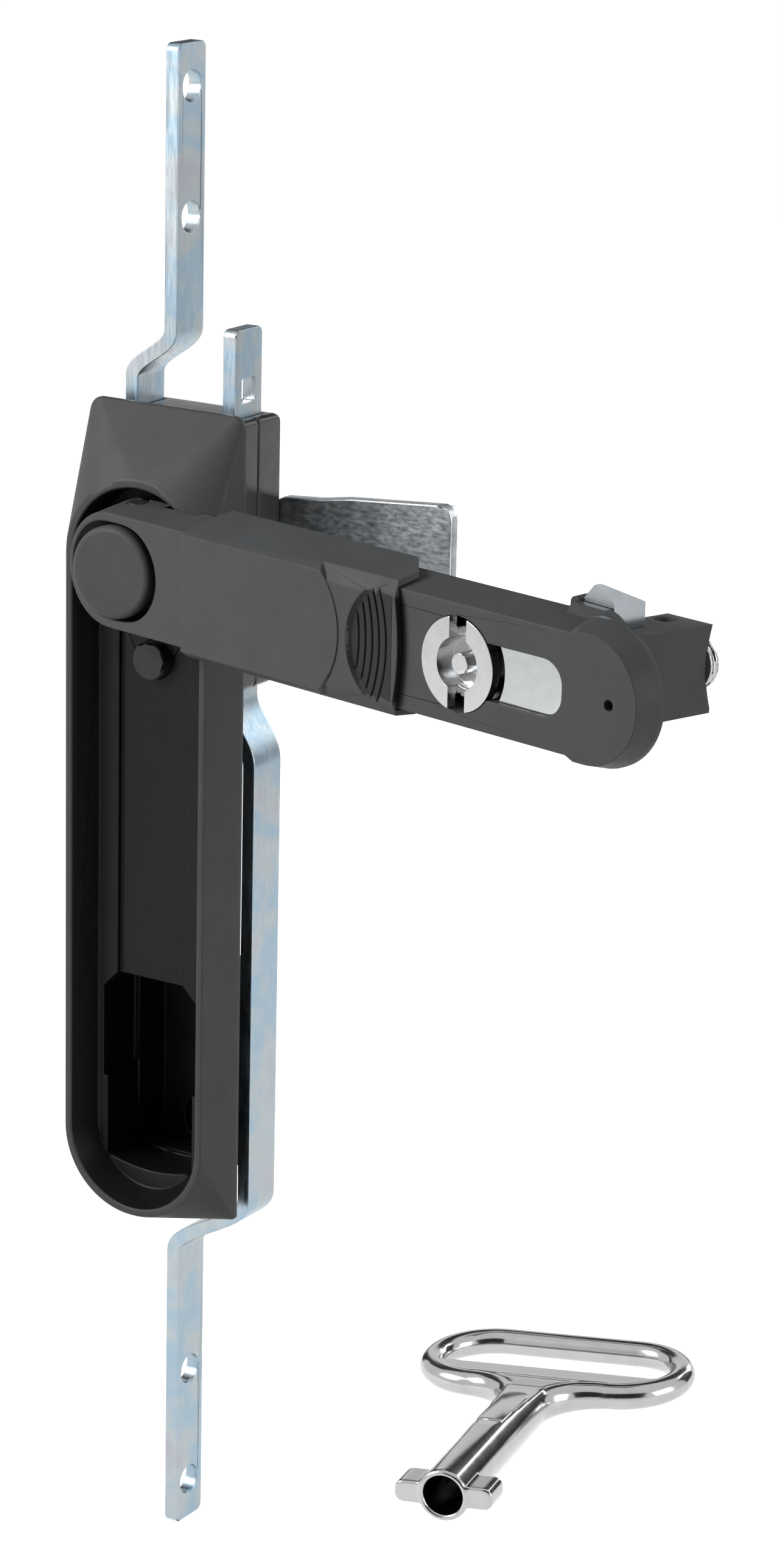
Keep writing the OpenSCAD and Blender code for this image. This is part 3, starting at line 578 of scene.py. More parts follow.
class Shop:
    """Makes meshes and keeps one material for each finish."""

    crisp_angle: float = 14.0
    edge_angle: float = 32.0
    edge_steps: int = 3
    relax_share: float = 0.5

    def __init__(self) -> None:
        """Start with no materials."""
        self._materials: dict[str, bpy.types.Material] = {}

    def finish(self, finish: object) -> bpy.types.Material:
        """Give the material of a finish, made once.

        Args:
            finish: One of the finish classes.

        Returns:
            The material.
        """
        if finish.name not in self._materials:
            self._materials[finish.name] = finish.material()
        return self._materials[finish.name]

    def dress(self, piece: bpy.types.Object, finish: object) -> None:
        """Give a whole piece one finish.

        Args:
            piece: The object.
            finish: Its finish.
        """
        piece.data.materials.clear()
        piece.data.materials.append(self.finish(finish))
        for face in piece.data.polygons:
            face.material_index = 0

    def merged_copy(self, node: str, name: str) -> bpy.types.Object:
        """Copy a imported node's mesh with its loose triangles joined.

        Args:
            node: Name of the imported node.
            name: Name of the new piece.

        Returns:
            The new piece, at the origin.
        """
        mesh = frame["nodes"][node].data.copy()
        shell = bmesh.new()
        shell.from_mesh(mesh)
        bmesh.ops.remove_doubles(shell, verts=shell.verts, dist=WELD)
        shell.to_mesh(mesh)
        shell.free()
        return stand(name, mesh)

    def soften(self, node: str, name: str, width: float) -> bpy.types.Object:
        """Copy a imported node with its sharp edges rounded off.

        Args:
            node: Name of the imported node.
            name: Name of the new piece.
            width: Width of the rounded edges in metres, or 0 to keep them crisp.

        Returns:
            The new piece, at the origin.
        """
        piece = self.merged_copy(node, name)
        piece.data.shade_smooth()
        if not width:
            piece.data.set_sharp_from_angle(angle=math.radians(self.crisp_angle))
            return piece
        piece.data.set_sharp_from_angle(angle=math.pi)
        rounding = piece.modifiers.new("edges", "BEVEL")
        rounding.width = width
        rounding.segments = self.edge_steps
        rounding.limit_method = "ANGLE"
        rounding.angle_limit = math.radians(self.edge_angle)
        rounding.use_clamp_overlap = False
        flats = piece.modifiers.new("flats", "WEIGHTED_NORMAL")
        flats.mode = "FACE_AREA"
        flats.keep_sharp = True
        return self.settle(piece)

    def cast(self, name: str, shells: list[bmesh.types.BMesh], cell: float, passes: int) -> bpy.types.Object:
        """Melt closed shells into one flowing cast form.

        Args:
            name: Name of the new piece.
            shells: Closed shells that overlap, used up here.
            cell: Size of the cells that the form is rebuilt from, in metres.
            passes: How often the form is smoothed.

        Returns:
            The new piece, at the origin.
        """
        whole = bmesh.new()
        for shell in shells:
            part = skin("part", shell)
            whole.from_mesh(part)
            bpy.data.meshes.remove(part)
        mesh = bpy.data.meshes.new(name)
        whole.to_mesh(mesh)
        whole.free()
        piece = stand(name, mesh)
        remesh = piece.modifiers.new("cells", "REMESH")
        remesh.mode = "VOXEL"
        remesh.voxel_size = cell
        relax = piece.modifiers.new("relax", "SMOOTH")
        relax.factor = self.relax_share
        relax.iterations = passes
        piece = self.settle(piece)
        piece.data.shade_smooth()
        return piece

    def settle(self, piece: bpy.types.Object) -> bpy.types.Object:
        """Turn a piece's modifiers into a plain mesh.

        Args:
            piece: The object.

        Returns:
            The same object.
        """
        depsgraph = bpy.context.evaluated_depsgraph_get()
        mesh = bpy.data.meshes.new_from_object(piece.evaluated_get(depsgraph))
        piece.modifiers.clear()
        piece.data = mesh
        mesh.name = piece.name
        return piece


def joint(name: str) -> dict:
    """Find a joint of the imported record.

    Args:
        name: Name of the joint.

    Returns:
        The joint's entry.
    """
    return next(entry for entry in frame["record"]["behaviour"]["joints"] if entry["name"] == name)


@dataclass
class Assembly:
    """Common ways of the sub-assemblies."""

    shop: Shop
    body: Body = Body.MOUNTING

    def keep(self, node: str, finish: object) -> None:
        """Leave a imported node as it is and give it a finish.

        Args:
            node: Name of the node.
            finish: Its finish.
        """
        self.shop.dress(frame["nodes"][node], finish)
        LOG.info("%s keeps its solid", node)

    def seat(
        self, piece: bpy.types.Object, slot: Slot, node: Optional[str], body: Optional[Body] = None
    ) -> None:
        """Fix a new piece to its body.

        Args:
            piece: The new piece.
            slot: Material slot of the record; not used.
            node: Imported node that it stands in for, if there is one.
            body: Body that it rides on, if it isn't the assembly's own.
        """
        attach(piece, (body or self.body).value)
        if node:
            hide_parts(node)
        LOG.info("%s stands in for %s, %d faces", piece.name, node, len(piece.data.polygons))

    def round_off(
        self, node: str, finish: object, slot: Slot, width: float, body: Optional[Body] = None
    ) -> bpy.types.Object:
        """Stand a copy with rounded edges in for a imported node.

        Args:
            node: Name of the node.
            finish: Its finish.
            slot: Material slot of the record.
            width: Width of the rounded edges in metres.
            body: Body that the piece rides on, if it isn't the assembly's own.

        Returns:
            The new piece.
        """
        piece = self.shop.soften(node, node + "_shell", width)
        self.shop.dress(piece, finish)
        self.seat(piece, slot, node, body)
        return piece


@dataclass
class Mounting(Assembly):
    """Door plate, gear case and what is fixed to them."""

    plate_edge: float = 0.3 * MM
    case_edge: float = 0.25 * MM
    bumper_edge: float = 0.35 * MM
    # The dish's inside, bounded by these sizes, gets painted shade as near-black nylon.
    recess_half: float = 14.6 * MM
    recess_land: float = 1.6 * MM
    recess_front: float = -10.9 * MM
    cap_radius: float = 6.6 * MM
    cap_wall: float = 0.8 * MM
    cap_height: float = 3.0 * MM
    cap_steps: int = 10
    cap_turns: int = 48
    cap_crisp: float = 40.0

    def build(self) -> None:
        """Make the pieces of the door side."""
        plate = self.round_off("base_dish", NYLON, Slot.NYLON, self.plate_edge)
        self._paint_recess_shade(plate)
        self.round_off("gear_case_front", CASE_NYLON, Slot.NYLON, self.case_edge)
        self.round_off("gear_case_rear", CASE_NYLON, Slot.NYLON, self.case_edge)
        self.round_off("rest_bumper", RUBBER, Slot.RUBBER, self.bumper_edge)
        self.keep("door_gasket", RUBBER)
        self.keep("case_screws", SCREW_ZINC)
        self._pocket_cap()

    def _paint_recess_shade(self, plate: bpy.types.Object) -> None:
        """Paint shade on the inside of the dish: its faces get a smoother, near-black nylon.

        Args:
            plate: The door plate.
        """
        # Painted shade: faces inside the dish get the near-black nylon.
        plate.data.materials.append(self.shop.finish(PAINTED_SHADE_NYLON))
        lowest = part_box("base_dish")[0][2] + self.recess_half + self.recess_land
        for face in plate.data.polygons:
            x, y, z = face.center
            beyond = z - min(max(z, lowest), 0.0)
            if math.hypot(x, beyond) < self.recess_half and y > self.recess_front:
                face.material_index = 1

    def _pocket_cap(self) -> None:
        """Close the hole behind the pocket with a hollow domed cap that clears the chromed pin."""
        corners = [Vector(corner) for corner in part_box("lock_nose")]
        nose = (corners[0] + corners[1]) / 2
        along = Vector(joint("cover_slide")["axis"])
        reach = (nose - Vector(joint("lever_lift")["pos_m"])).dot(along)
        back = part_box("base_dish")[1][1]
        quarter = spread(0.0, math.pi / 2, self.cap_steps)[:-1]
        inner = self.cap_radius - self.cap_wall
        hollow = self.cap_height - self.cap_wall
        profile = [(inner * math.cos(a), hollow * math.sin(a)) for a in reversed(quarter)]
        profile += [(self.cap_radius * math.cos(a), self.cap_height * math.sin(a)) for a in quarter]
        shell = bmesh.new()
        points = [shell.verts.new((nose.z, back + hollow, -reach))]
        points += [shell.verts.new((nose.z + radius, back + rise, -reach)) for radius, rise in profile]
        points.append(shell.verts.new((nose.z, back + self.cap_height, -reach)))
        edges = [shell.edges.new(pair) for pair in zip(points, points[1:])]
        bmesh.ops.spin(
            shell, geom=points + edges, cent=(nose.z, back, -reach), axis=(0.0, 1.0, 0.0), angle=math.tau,
            steps=self.cap_turns, use_merge=True
        )
        bmesh.ops.remove_doubles(shell, verts=shell.verts, dist=WELD)
        cap = stand("pocket_cap", skin("pocket_cap", shell))
        cap.data.shade_smooth()
        cap.data.set_sharp_from_angle(angle=math.radians(self.cap_crisp))
        # Painted shade: the cap wears the near-black nylon so the deep pocket stays dark.
        self.shop.dress(cap, PAINTED_SHADE_NYLON)
        self.seat(cap, Slot.NYLON, None)


@dataclass
class Handle(Assembly):
    """Spindle, pinion, tongue and pivot cap."""

    body: Body = Body.HANDLE
    cap_edge: float = 0.9 * MM
    tongue_edge: float = 0.35 * MM

    def build(self) -> None:
        """Make the pieces that turn with the spindle."""
        self.round_off("pivot_cap", POWDER, Slot.POWDER, self.cap_edge)
        self.round_off("cam_tongue", TONGUE_ZINC, Slot.ZINC_STEEL, self.tongue_edge)
        self.keep("spindle", CAST_ZINC)
        self.keep("hinge_pin", DARK_STEEL)
        self.keep("thrust_washer", ACETAL)
        self.keep("pinion", CAST_ZINC)
        self.keep("tongue_washer", SCREW_ZINC)
        self.keep("tongue_screw", SCREW_ZINC)


@dataclass
class Rods(Assembly):
    """The two flat rods."""

    edge: float = 0.2 * MM

    def build(self) -> None:
        """Make both rods."""
        self.round_off("upper_rod", ROD_ZINC, Slot.ZINC_STEEL, self.edge, Body.UPPER_ROD)
        self.round_off("lower_rod", ROD_ZINC, Slot.ZINC_STEEL, self.edge, Body.LOWER_ROD)


@dataclass
class Lever(Assembly):
    """Lever with its end cap, block and sliding cover."""

    body: Body = Body.LEVER
    lever_edge: float = 0.25 * MM
    cover_edge: float = 0.12 * MM
    # The sunk faces of the thumb scoop within these sizes get painted shade.
    scoop_length: float = 12.5 * MM
    scoop_half: float = 9.5 * MM
    scoop_depth: float = 0.3 * MM
    lip_foot: float = 11.3 * MM
    lip_front: float = -1.4 * MM
    lip_crest: float = 0.6 * MM
    lip_back: float = 2.3 * MM
    lip_line: tuple[tuple[float, float], ...] = (
        (108.8 * MM, 12.0 * MM), (109.3 * MM, 13.5 * MM), (110.4 * MM, 13.4 * MM), (116.6 * MM, 13.2 * MM),
        (118.4 * MM, 12.6 * MM), (120.4 * MM, 11.4 * MM)
    )

    def build(self) -> None:
        """Make the pieces of the lever."""
        self.round_off("lever_body", POWDER, Slot.POWDER, self.lever_edge)
        self.round_off("end_cap", POWDER, Slot.POWDER, 0.0)
        self.round_off("lock_block", POWDER, Slot.POWDER, 0.0)
        cover = self.round_off("slide_cover", POWDER, Slot.POWDER, self.cover_edge, Body.COVER)
        self._paint_scoop_shade(cover)
        self.keep("fixing_screw", DARK_STEEL)
        self._bolt_lip()

    def _bolt_lip(self) -> None:
        """Raise the lip that guards the foot of the latch bolt."""
        along = Vector(joint("cover_slide")["axis"])
        inward = Vector(joint("rotor_turn")["axis"])
        pin = Vector(joint("lever_lift")["pos_m"])
        rings = []
        for reach, crest in self.lip_line:
            section = (
                (self.lip_front, self.lip_foot), (self.lip_back, self.lip_foot), (self.lip_back, crest),
                (self.lip_crest, crest)
            )
            rings.append([pin + along * reach + inward * y + Vector((0.0, 0.0, z)) for y, z in section])
        lip = stand("bolt_lip", skin("bolt_lip", loft(rings)))
        self.shop.dress(lip, POWDER)
        self.seat(lip, Slot.POWDER, None)

    def _paint_scoop_shade(self, cover: bpy.types.Object) -> None:
        """Paint shade into the ribbed thumb scoop: its sunk faces get a near-black powder coat.

        Args:
            cover: The sliding cover.
        """
        along = Vector(joint("cover_slide")["axis"])
        inward = Vector(joint("rotor_turn")["axis"])
        faces = cover.data.polygons
        end = max(face.center.dot(along) for face in faces)
        front = min(face.center.dot(inward) for face in faces)
        # Painted shade: sunk faces near the cover's end get the near-black powder coat.
        cover.data.materials.append(self.shop.finish(PAINTED_SHADE_POWDER))
        for face in faces:
            near_end = face.center.dot(along) > end - self.scoop_length
            sunk = front + self.scoop_depth < face.center.dot(inward)
            if near_end and sunk and abs(face.center.z) < self.scoop_half:
                face.material_index = 1


@dataclass
class Insert(Assembly):
    """Lock insert with its slotted disc and seal ring."""

    body: Body = Body.LEVER
    edge: float = 0.1 * MM
    seal_radius: float = 9.35 * MM
    seal_wire: float = 0.72 * MM
    seal_depth: float = 1.2 * MM
    seal_steps: int = 96
    seal_sides: int = 16

    def build(self) -> None:
        """Make the insert."""
        self.round_off("cylinder_body", CHROME, Slot.CHROME, self.edge)
        self.round_off("lock_rotor", ROTOR_CHROME, Slot.CHROME, self.edge, Body.ROTOR)
        self.keep("rotor_cam", CAST_ZINC)
        self._seal()

    def _seal(self) -> None:
        """Lay a black ring in the gap between the disc and its plate."""
        pin = next(mount for mount in frame["record"]["mounts"] if mount["name"] == "key_pin")
        inward = -Vector(pin["axis"])
        middle = Vector(pin["pos_m"]) + inward * self.seal_depth
        plan = Blueprint("seal_ring")
        radius = plan.size("Ring radius", self.seal_radius)
        wire = plan.size("Wire radius", self.seal_wire)
        path = plan.add("GeometryNodeCurvePrimitiveCircle", Resolution=self.seal_steps, Radius=radius)
        section = plan.add("GeometryNodeCurvePrimitiveCircle", Resolution=self.seal_sides, Radius=wire)
        swept = plan.add(
            "GeometryNodeCurveToMesh", Curve=path.outputs["Curve"], Profile_Curve=section.outputs["Curve"]
        )
        seated = plan.add(
            "GeometryNodeTransform", Geometry=swept.outputs["Mesh"], Translation=middle,
            Rotation=inward.to_track_quat("Z", "Y").to_euler()
        )
        ring = plan.run("seal_ring", seated.outputs["Geometry"], self.shop.finish(SEAL))
        self.seat(ring, Slot.RUBBER, None)


@dataclass
class Latch(Assembly):
    """Sprung bolt, its coil and the chromed nose."""

    body: Body = Body.LEVER
    nose_edge: float = 0.15 * MM
    wire_radius: float = 0.33 * MM
    coil_turns: float = 5.5
    steps_per_turn: int = 28
    wire_sides: int = 10

    def build(self) -> None:
        """Make the latch."""
        self.round_off("latch_bolt", BOLT_ZINC, Slot.CAST_ZINC, 0.0, Body.BOLT)
        self.round_off("lock_nose", CHROME, Slot.CHROME, self.nose_edge)
        self._coil()

    def _coil(self) -> None:
        """Wind the bolt's spring with two closed ends."""
        low, high = (Vector(corner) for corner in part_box("bolt_spring"))
        middle = (low + high) / 2
        radius = (high.x - low.x) / 2 - self.wire_radius
        height = high.z - low.z - 2 * self.wire_radius
        plan = Blueprint("coil_spring")
        mean = plan.size("Coil radius", radius)
        tall = plan.size("Free height", height)
        turns = plan.size("Turns", self.coil_turns)
        wire = plan.size("Wire radius", self.wire_radius)
        helix = plan.add(
            "GeometryNodeCurveSpiral", Resolution=self.steps_per_turn, Rotations=turns, Start_Radius=mean,
            End_Radius=mean, Height=tall
        )
        loop = plan.add("GeometryNodeCurvePrimitiveCircle", Resolution=self.steps_per_turn, Radius=mean)
        lift = plan.add("ShaderNodeCombineXYZ", Z=tall)
        crown = plan.add(
            "GeometryNodeTransform", Geometry=loop.outputs["Curve"], Translation=lift.outputs["Vector"]
        )
        path = plan.add("GeometryNodeJoinGeometry")
        for part in (helix.outputs["Curve"], loop.outputs["Curve"], crown.outputs["Geometry"]):
            plan.link(part, path.inputs["Geometry"])
        section = plan.add("GeometryNodeCurvePrimitiveCircle", Resolution=self.wire_sides, Radius=wire)
        swept = plan.add(
            "GeometryNodeCurveToMesh", Curve=path.outputs["Geometry"], Profile_Curve=section.outputs["Curve"]
        )
        swept.inputs["Fill Caps"].default_value = True
        foot = (middle.x, middle.y, low.z + self.wire_radius)
        seated = plan.add("GeometryNodeTransform", Geometry=swept.outputs["Mesh"], Translation=foot)
        coil = plan.run("bolt_coil", seated.outputs["Geometry"], self.shop.finish(SCREW_ZINC))
        self.seat(coil, Slot.ZINC_STEEL, "bolt_spring")
        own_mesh(coil)


@dataclass
class Key(Assembly):
    """The loose double-bit key, made in its own frame: X from the mouth to the ring, Z up."""

    body: Body = Body.KEY
    place: Point = (137.8 * MM, -120.0 * MM, -110.1 * MM)
    turn: Point = (-4.5, 1.5, 101.4)
    length: float = 69.0 * MM
    barrel_radius: float = 4.3 * MM
    bore_radius: float = 3.2 * MM
    bore_depth: float = 26.9 * MM
    bore_tip: float = 0.2 * MM
    mouth_edge: float = 0.35 * MM
    flat_start: float = 21.0 * MM
    flat_end: float = 39.0 * MM
    flat_run_on: float = 2.0 * MM
    flat_high: float = 4.0 * MM
    flat_low: float = 3.0 * MM
    panel_start: float = 23.0 * MM
    panel_end: float = 37.5 * MM
    panel_half: float = 2.2 * MM
    panel_rise: float = 0.14 * MM
    panel_lip: float = 0.1 * MM
    ring_width: float = 48.0 * MM
    ring_length: float = 24.2 * MM
    wire_radius: float = 2.2 * MM
    web_half_thick: float = 2.05 * MM
    web_in: float = 5.2 * MM
    fillet: float = 8.0 * MM
    span: float = 16.4 * MM
    bit_set_back: float = 0.3 * MM
    bit_length: float = 6.0 * MM
    bit_half_thick: float = 1.8 * MM
    bit_corner: float = 1.3 * MM
    bit_sunk: float = 0.4 * MM
    sides: int = 64
    wire_sides: int = 32
    flat_steps: int = 24
    web_steps: int = 12
    fillet_steps: int = 16
    shoulder_steps: int = 24
    panel_steps: int = 16
    corner_steps: int = 8
    cell: float = 0.22 * MM
    passes: int = 10

    def build(self) -> None:
        """Make the key as one flowing casting with a raised panel on its barrel."""
        shells = [self._barrel(), self._web(), self._ring()]
        for side in (1.0, -1.0):
            shells += [self._bit(side), self._shoulder(side)]
        piece = self.shop.cast("key_casting", shells, self.cell, self.passes)
        self._add_panel(piece.data)
        turn = Euler(tuple(math.radians(angle) for angle in self.turn), "XYZ").to_matrix().to_4x4()
        piece.data.transform(Matrix.Translation(self.place) @ turn)
        self.shop.dress(piece, KEY_CHROME)
        self.seat(piece, Slot.CHROME, "key")

    @property
    def _ring_middle(self) -> float:
        """Distance from the mouth to the middle of the ring."""
        return self.length - self.ring_length / 2

    @property
    def _ring_arc(self) -> float:
        """Radius of the wire's centre line in the round ends of the ring."""
        return self.ring_length / 2 - self.wire_radius

    @property
    def _ring_reach(self) -> float:
        """Distance from the key's middle line to the middle of a round end."""
        return (self.ring_width - self.ring_length) / 2

    @property
    def _bend(self) -> float:
        """Radius of the centre line of the web's rounded edges."""
        return self.fillet + self.wire_radius

    def _bend_middle(self, side: float) -> Vector:
        """Give the middle of the arc that the web's edge follows.

        Args:
            side: 1 or -1 for the side that it lies on.

        Returns:
            The point in the key's own frame.
        """
        foot = self._ring_middle - self.ring_length / 2 - self.fillet
        return Vector((foot, side * (self.barrel_radius + self.fillet), 0.0))

    def _crown(self, x: float) -> float:
        """Give half the height of the barrel, which flattens towards the web.

        Args:
            x: Distance from the mouth.

        Returns:
            Half the height there.
        """
        if x < self.flat_start:
            return self.barrel_radius
        share = min((x - self.flat_start) / (self.flat_end - self.flat_start), 1.0)
        return self.flat_high + (self.flat_low - self.flat_high) * share

    def _barrel(self) -> bmesh.types.BMesh:
        """Make the bored barrel with its sloping flats.

        Returns:
            The closed shell.
        """
        edge = self.mouth_edge
        deep = self.bore_depth
        outline = [(deep, self.bore_tip), (deep, self.bore_radius), (edge, self.bore_radius)]
        outline += [(0.0, self.bore_radius + edge), (0.0, self.barrel_radius - edge)]
        outline.append((edge, self.barrel_radius))
        flat = spread(self.flat_start, self.flat_end + self.flat_run_on, self.flat_steps)
        outline += [(x, self.barrel_radius) for x in flat]
        turns = spread(0.0, math.tau, self.sides)[:-1]
        rings = []
        for x, radius in outline:
            crown = self._crown(x) if radius == self.barrel_radius else radius
            rings.append([
                (x, radius * math.cos(a), max(-crown, min(crown, radius * math.sin(a)))) for a in turns
            ])
        return loft(rings)

    def _ring(self) -> bmesh.types.BMesh:
        """Bend the wire of the oval ring.

        Returns:
            The closed shell.
        """
        shell = bmesh.new()
        rows = []
        half_step = math.pi / (2 * self.sides)
        for angle in spread(half_step, math.tau + half_step, 2 * self.sides)[:-1]:
            side = math.copysign(self._ring_reach, math.sin(angle))
            out = Vector((math.cos(angle), math.sin(angle), 0.0))
            hub = Vector((self._ring_middle, side, 0.0)) + out * self._ring_arc
            rows.append([shell.verts.new(point) for point in self._wire(hub, out, self.wire_radius)])
        for near, far in zip(rows, rows[1:] + rows[:1]):
            for j in range(self.wire_sides):
                k = (j + 1) % self.wire_sides
                shell.faces.new((near[j], near[k], far[k], far[j]))
        return shell

    def _wire(self, hub: Vector, out: Vector, half_thick: float) -> list[Vector]:
        """Give one section of the key's wire.

        Args:
            hub: Middle of the section.
            out: Direction of the section's width.
            half_thick: Half its height.

        Returns:
            The points round the section.
        """
        up = Vector((0.0, 0.0, half_thick))
        wide = out * self.wire_radius
        turns = spread(0.0, math.tau, self.wire_sides)[:-1]
        return [hub + wide * math.cos(turn) + up * math.sin(turn) for turn in turns]

    def _web(self) -> bmesh.types.BMesh:
        """Make the flat web that fills the near side of the ring and spreads from the barrel.

        Returns:
            The closed shell.
        """
        middle = self._ring_middle
        arc = self._ring_arc
        rise = math.acos(self.web_in / arc)
        hub = self._bend_middle(1.0)
        edge = []
        for angle in spread(rise, 0.0, self.web_steps):
            edge.append((middle - arc * math.cos(angle), self._ring_reach + arc * math.sin(angle)))
        for angle in spread(0.0, math.pi / 2, self.fillet_steps):
            edge.append((hub.x + self._bend * math.cos(angle), hub.y - self._bend * math.sin(angle)))
        outline = edge + [(x, -y) for x, y in reversed(edge)]
        near = middle - arc - self.flat_end
        rings = []
        for face in (-1.0, 1.0):
            ring = []
            for x, y in outline:
                share = min(max((x - self.flat_end) / near, 0.0), 1.0)
                thick = self.flat_low + (self.web_half_thick - self.flat_low) * share
                ring.append((x, y, face * thick))
            rings.append(ring)
        return loft(rings)

    def _shoulder(self, side: float) -> bmesh.types.BMesh:
        """Sweep the rounded edge of the web from the ring down to the barrel.

        Args:
            side: 1 or -1 for the side that it runs on.

        Returns:
            The closed shell.
        """
        quarter = math.pi / 2
        middle = self._bend_middle(side)
        rings = []
        for angle in spread(0.0, quarter, self.shoulder_steps):
            out = Vector((math.cos(angle), -side * math.sin(angle), 0.0))
            thick = self.wire_radius + (self.flat_low - self.wire_radius) * angle / quarter
            rings.append(self._wire(middle + out * self._bend, out, thick))
        return loft(rings)

    def _add_panel(self, mesh: bpy.types.Mesh) -> None:
        """Raise a thin panel with one round end on the barrel's flat.

        Args:
            mesh: The key's mesh, still in its own frame.
        """
        middle = self.panel_end - self.panel_half
        outline = [(self.panel_start, self.panel_half), (self.panel_start, -self.panel_half)]
        for angle in spread(-math.pi / 2, math.pi / 2, self.panel_steps):
            outline.append((middle + self.panel_half * math.cos(angle), self.panel_half * math.sin(angle)))
        lip = self.panel_lip
        levels = ((0.0, -2 * lip), (0.0, self.panel_rise - lip / 2), (lip, self.panel_rise))
        rings = []
        for inset, rise in levels:
            shrink = 1.0 - inset / self.panel_half
            rings.append([
                (middle + (x - middle) * shrink, y * shrink, self._crown(x) + rise) for x, y in outline
            ])
        panel = loft(rings)
        bmesh.ops.recalc_face_normals(panel, faces=panel.faces)
        panel.from_mesh(mesh)
        panel.to_mesh(mesh)
        panel.free()
        mesh.shade_smooth()

    def _bit(self, side: float) -> bmesh.types.BMesh:
        """Make one bit with a rounded end.

        Args:
            side: 1 or -1 for the side that it stands on.

        Returns:
            The closed shell.
        """
        thick = self.bit_half_thick
        corner = self.bit_corner
        tip = self.span / 2
        root = self.bore_radius + self.bit_sunk
        quarter = math.pi / 2
        outline = [(root, -thick)]
        for middle, start in ((corner - thick, -quarter), (thick - corner, 0.0)):
            for angle in spread(start, start + quarter, self.corner_steps):
                outline.append((tip - corner + corner * math.cos(angle), middle + corner * math.sin(angle)))
        outline.append((root, thick))
        return loft([[(x, side * y, z) for y, z in outline] for x in (self.bit_set_back, self.bit_length)])


@dataclass(frozen=True)
class Viewpoint:
    """The photograph's camera, as angles in degrees, a distance and a focal length in photograph pixels."""

    azimuth: float = 31.971
    elevation: float = 15.901
    roll: float = 1.267
    distance: float = 0.812649
    right_shift: float = 0.040469
    up_shift: float = -0.036743
    focal_pixels: float = 7023.25
    middle_u: float = 627.423
    middle_v: float = 1228.311
    sensor: float = 36.0
    nearest: float = 0.01
    farthest: float = 50.0

    def build(self) -> bpy.types.Object:
        """Make the camera.

        Returns:
            The camera object, set as the scene's camera.
        """
        turn = math.radians(self.azimuth)
        rise = math.radians(self.elevation)
        back = Vector((math.sin(turn) * math.cos(rise), -math.cos(turn) * math.cos(rise), math.sin(rise)))
        level = Vector((0.0, 0.0, 1.0)).cross(back).normalized()
        steep = back.cross(level)
        lean = math.radians(self.roll)
        right = level * math.cos(lean) + steep * math.sin(lean)
        upward = steep * math.cos(lean) - level * math.sin(lean)
        place = right * self.right_shift + upward * self.up_shift + back * self.distance
        data = bpy.data.cameras.new("viewpoint")
        data.sensor_width = self.sensor
        data.lens = self.focal_pixels / PHOTO_HEIGHT * self.sensor
        data.shift_x = (PHOTO_WIDTH / 2 - self.middle_u) / PHOTO_HEIGHT
        data.shift_y = (self.middle_v - PHOTO_HEIGHT / 2) / PHOTO_HEIGHT
        data.clip_start = self.nearest
        data.clip_end = self.farthest
        camera = bpy.data.objects.new("viewpoint", data)
        rows = Matrix((right, upward, back)).transposed().to_4x4()
        camera.matrix_world = Matrix.Translation(place) @ rows
        bpy.context.scene.collection.objects.link(camera)
        bpy.context.scene.camera = camera
        return camera


@dataclass(frozen=True)
class Lamp:
    """A square soft lamp, with its side in metres and its power in watts."""

    name: str
    place: Point
    size: float
    power: float

    def build(self, aim: Point) -> None:
        """Hang the lamp.

        Args:
            aim: The point that it looks at.
        """
        data = bpy.data.lights.new(self.name, "AREA")
        data.shape = "SQUARE"
        data.size = self.size
        data.energy = self.power
        lamp = bpy.data.objects.new(self.name, data)
        lamp.location = self.place
        lamp.rotation_euler = (Vector(aim) - Vector(self.place)).to_track_quat("-Z", "Y").to_euler()
        bpy.context.scene.collection.objects.link(lamp)


@dataclass(frozen=True)
class Card:
    """A dark card that only reflections see."""

    name: str
    place: Point
    width: float
    height: float
    glow: float

    def build(self, aim: Point) -> None:
        """Stand the card.

        Args:
            aim: The point that it faces.
        """
        mesh = rectangle(self.name, self.width / 2, self.height / 2)
        turn = (Vector(aim) - Vector(self.place)).to_track_quat("Z", "Y").to_matrix().to_4x4()
        mesh.transform(Matrix.Translation(self.place) @ turn)
        card = stand(self.name, mesh)
        graph = Graph(self.name)
        glow = graph.add("ShaderNodeEmission", Color=WHITE, Strength=self.glow)
        graph.link(glow.outputs["Emission"], graph.output.inputs["Surface"])
        mesh.materials.append(graph.material)
        card.visible_camera = False
        card.visible_diffuse = False
        card.visible_shadow = False
        card.visible_transmission = False


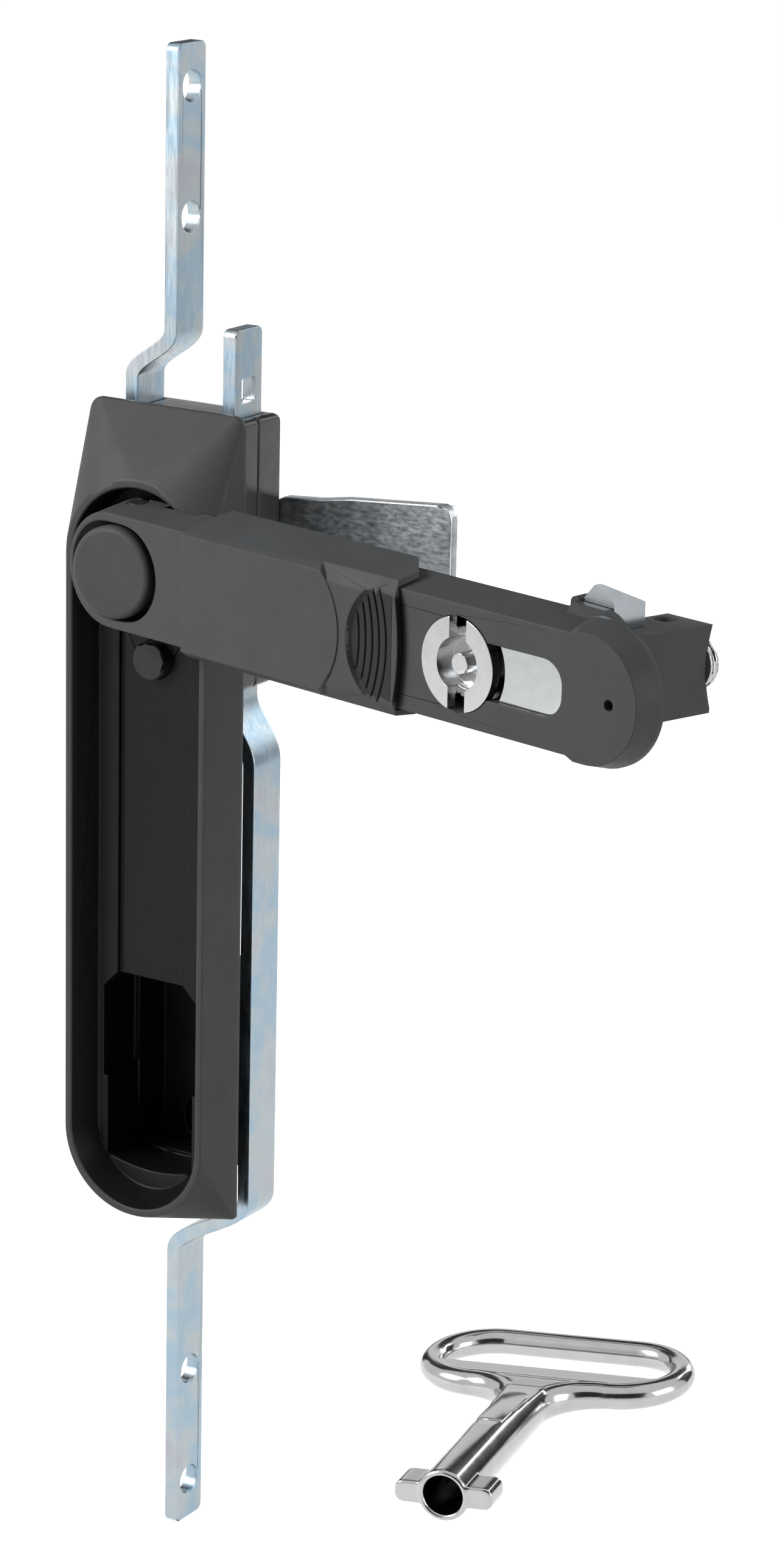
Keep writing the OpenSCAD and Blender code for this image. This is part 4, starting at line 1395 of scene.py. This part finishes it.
@dataclass(frozen=True)
class Studio:
    """White sweep, soft lamps and dark cards."""

    floor_z: float = -0.2035
    floor_half: float = 12.0
    floor_grey: float = 0.45
    floor_glow: float = 0.95
    sky_strength: float = 0.12
    aim: Point = (0.04, 0.0, -0.04)
    lamps: tuple[Lamp, ...] = (
        Lamp("window", place=(-0.38, -0.50, 0.30), size=0.36, power=5.6),
        Lamp("side_panel", place=(1.2, 0.05, 0.25), size=0.6, power=6.5),
        Lamp("rear_panel", place=(0.3, 1.3, 0.5), size=0.8, power=5.0),
    )
    cards: tuple[Card, ...] = (
        Card("top_flag", place=(-0.12, 0.25, 0.21), width=0.7, height=0.28, glow=0.05),
        Card("horizon_card", place=(-0.75, 1.15, -0.09), width=1.4, height=0.2, glow=0.05),
        Card("nose_flag", place=(0.22, 0.16, -0.03), width=0.14, height=0.16, glow=0.02),
        Card("front_card", place=(0.55, -0.88, 0.38), width=1.3, height=0.8, glow=0.04),
    )

    def build(self) -> None:
        """Make the floor, the sky, the lamps and the cards."""
        self._floor()
        self._sky()
        for fitting in self.lamps + self.cards:
            fitting.build(self.aim)

    def _direct(self, bench: NodeBench) -> bpy.types.NodeSocket:
        """Tell rays that show the background from rays that carry light.

        Args:
            bench: The tree that the nodes go into.

        Returns:
            A socket that is 1 for camera, mirror and see-through rays.
        """
        path = bench.add("ShaderNodeLightPath")
        mirror = bench.add("ShaderNodeMath", operation="MAXIMUM")
        bench.link(path.outputs["Is Glossy Ray"], mirror.inputs[0])
        bench.link(path.outputs["Is Transmission Ray"], mirror.inputs[1])
        either = bench.add("ShaderNodeMath", operation="MAXIMUM")
        bench.link(path.outputs["Is Camera Ray"], either.inputs[0])
        bench.link(mirror.outputs["Value"], either.inputs[1])
        return either.outputs["Value"]

    def _floor(self) -> None:
        """Make the floor, lifted to white where it is seen, with the shadow kept."""
        mesh = rectangle("floor", self.floor_half, self.floor_half)
        mesh.transform(Matrix.Translation((0.0, 0.0, self.floor_z)))
        floor = stand("floor", mesh)
        graph = Graph("pale_floor")
        level = graph.add("ShaderNodeMath", operation="MULTIPLY")
        graph.link(self._direct(graph), level.inputs[0])
        level.inputs[1].default_value = self.floor_glow
        glow = graph.add("ShaderNodeEmission", Color=WHITE, Strength=level.outputs["Value"])
        paper = graph.add("ShaderNodeBsdfDiffuse", Color=(self.floor_grey,) * 3 + (1.0,))
        both = graph.add("ShaderNodeAddShader")
        graph.link(paper.outputs["BSDF"], both.inputs[0])
        graph.link(glow.outputs["Emission"], both.inputs[1])
        graph.link(both.outputs["Shader"], graph.output.inputs["Surface"])
        mesh.materials.append(graph.material)

    def _sky(self) -> None:
        """Make an even sky that is white where it is seen."""
        world = bpy.data.worlds.new("sky")
        world.use_nodes = True
        bench = NodeBench(world.node_tree)
        bench.tree.nodes.clear()
        dim = bench.add("ShaderNodeBackground", Color=WHITE, Strength=self.sky_strength)
        white = bench.add("ShaderNodeBackground", Color=WHITE, Strength=1.0)
        choice = bench.add("ShaderNodeMixShader", Fac=self._direct(bench))
        bench.link(dim.outputs["Background"], choice.inputs[1])
        bench.link(white.outputs["Background"], choice.inputs[2])
        output = bench.add("ShaderNodeOutputWorld")
        bench.link(choice.outputs["Shader"], output.inputs["Surface"])
        bpy.context.scene.world = world


def main() -> None:
    """Build and dress the whole lock."""
    logging.basicConfig(level=logging.INFO, format="%(name)s: %(message)s")
    bpy.context.scene.view_settings.view_transform = "Standard"
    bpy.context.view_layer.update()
    Viewpoint().build()
    Studio().build()
    shop = Shop()
    for kind in (Mounting, Handle, Rods, Lever, Insert, Latch, Key):
        kind(shop).build()


if __name__ == "__main__":
    main()
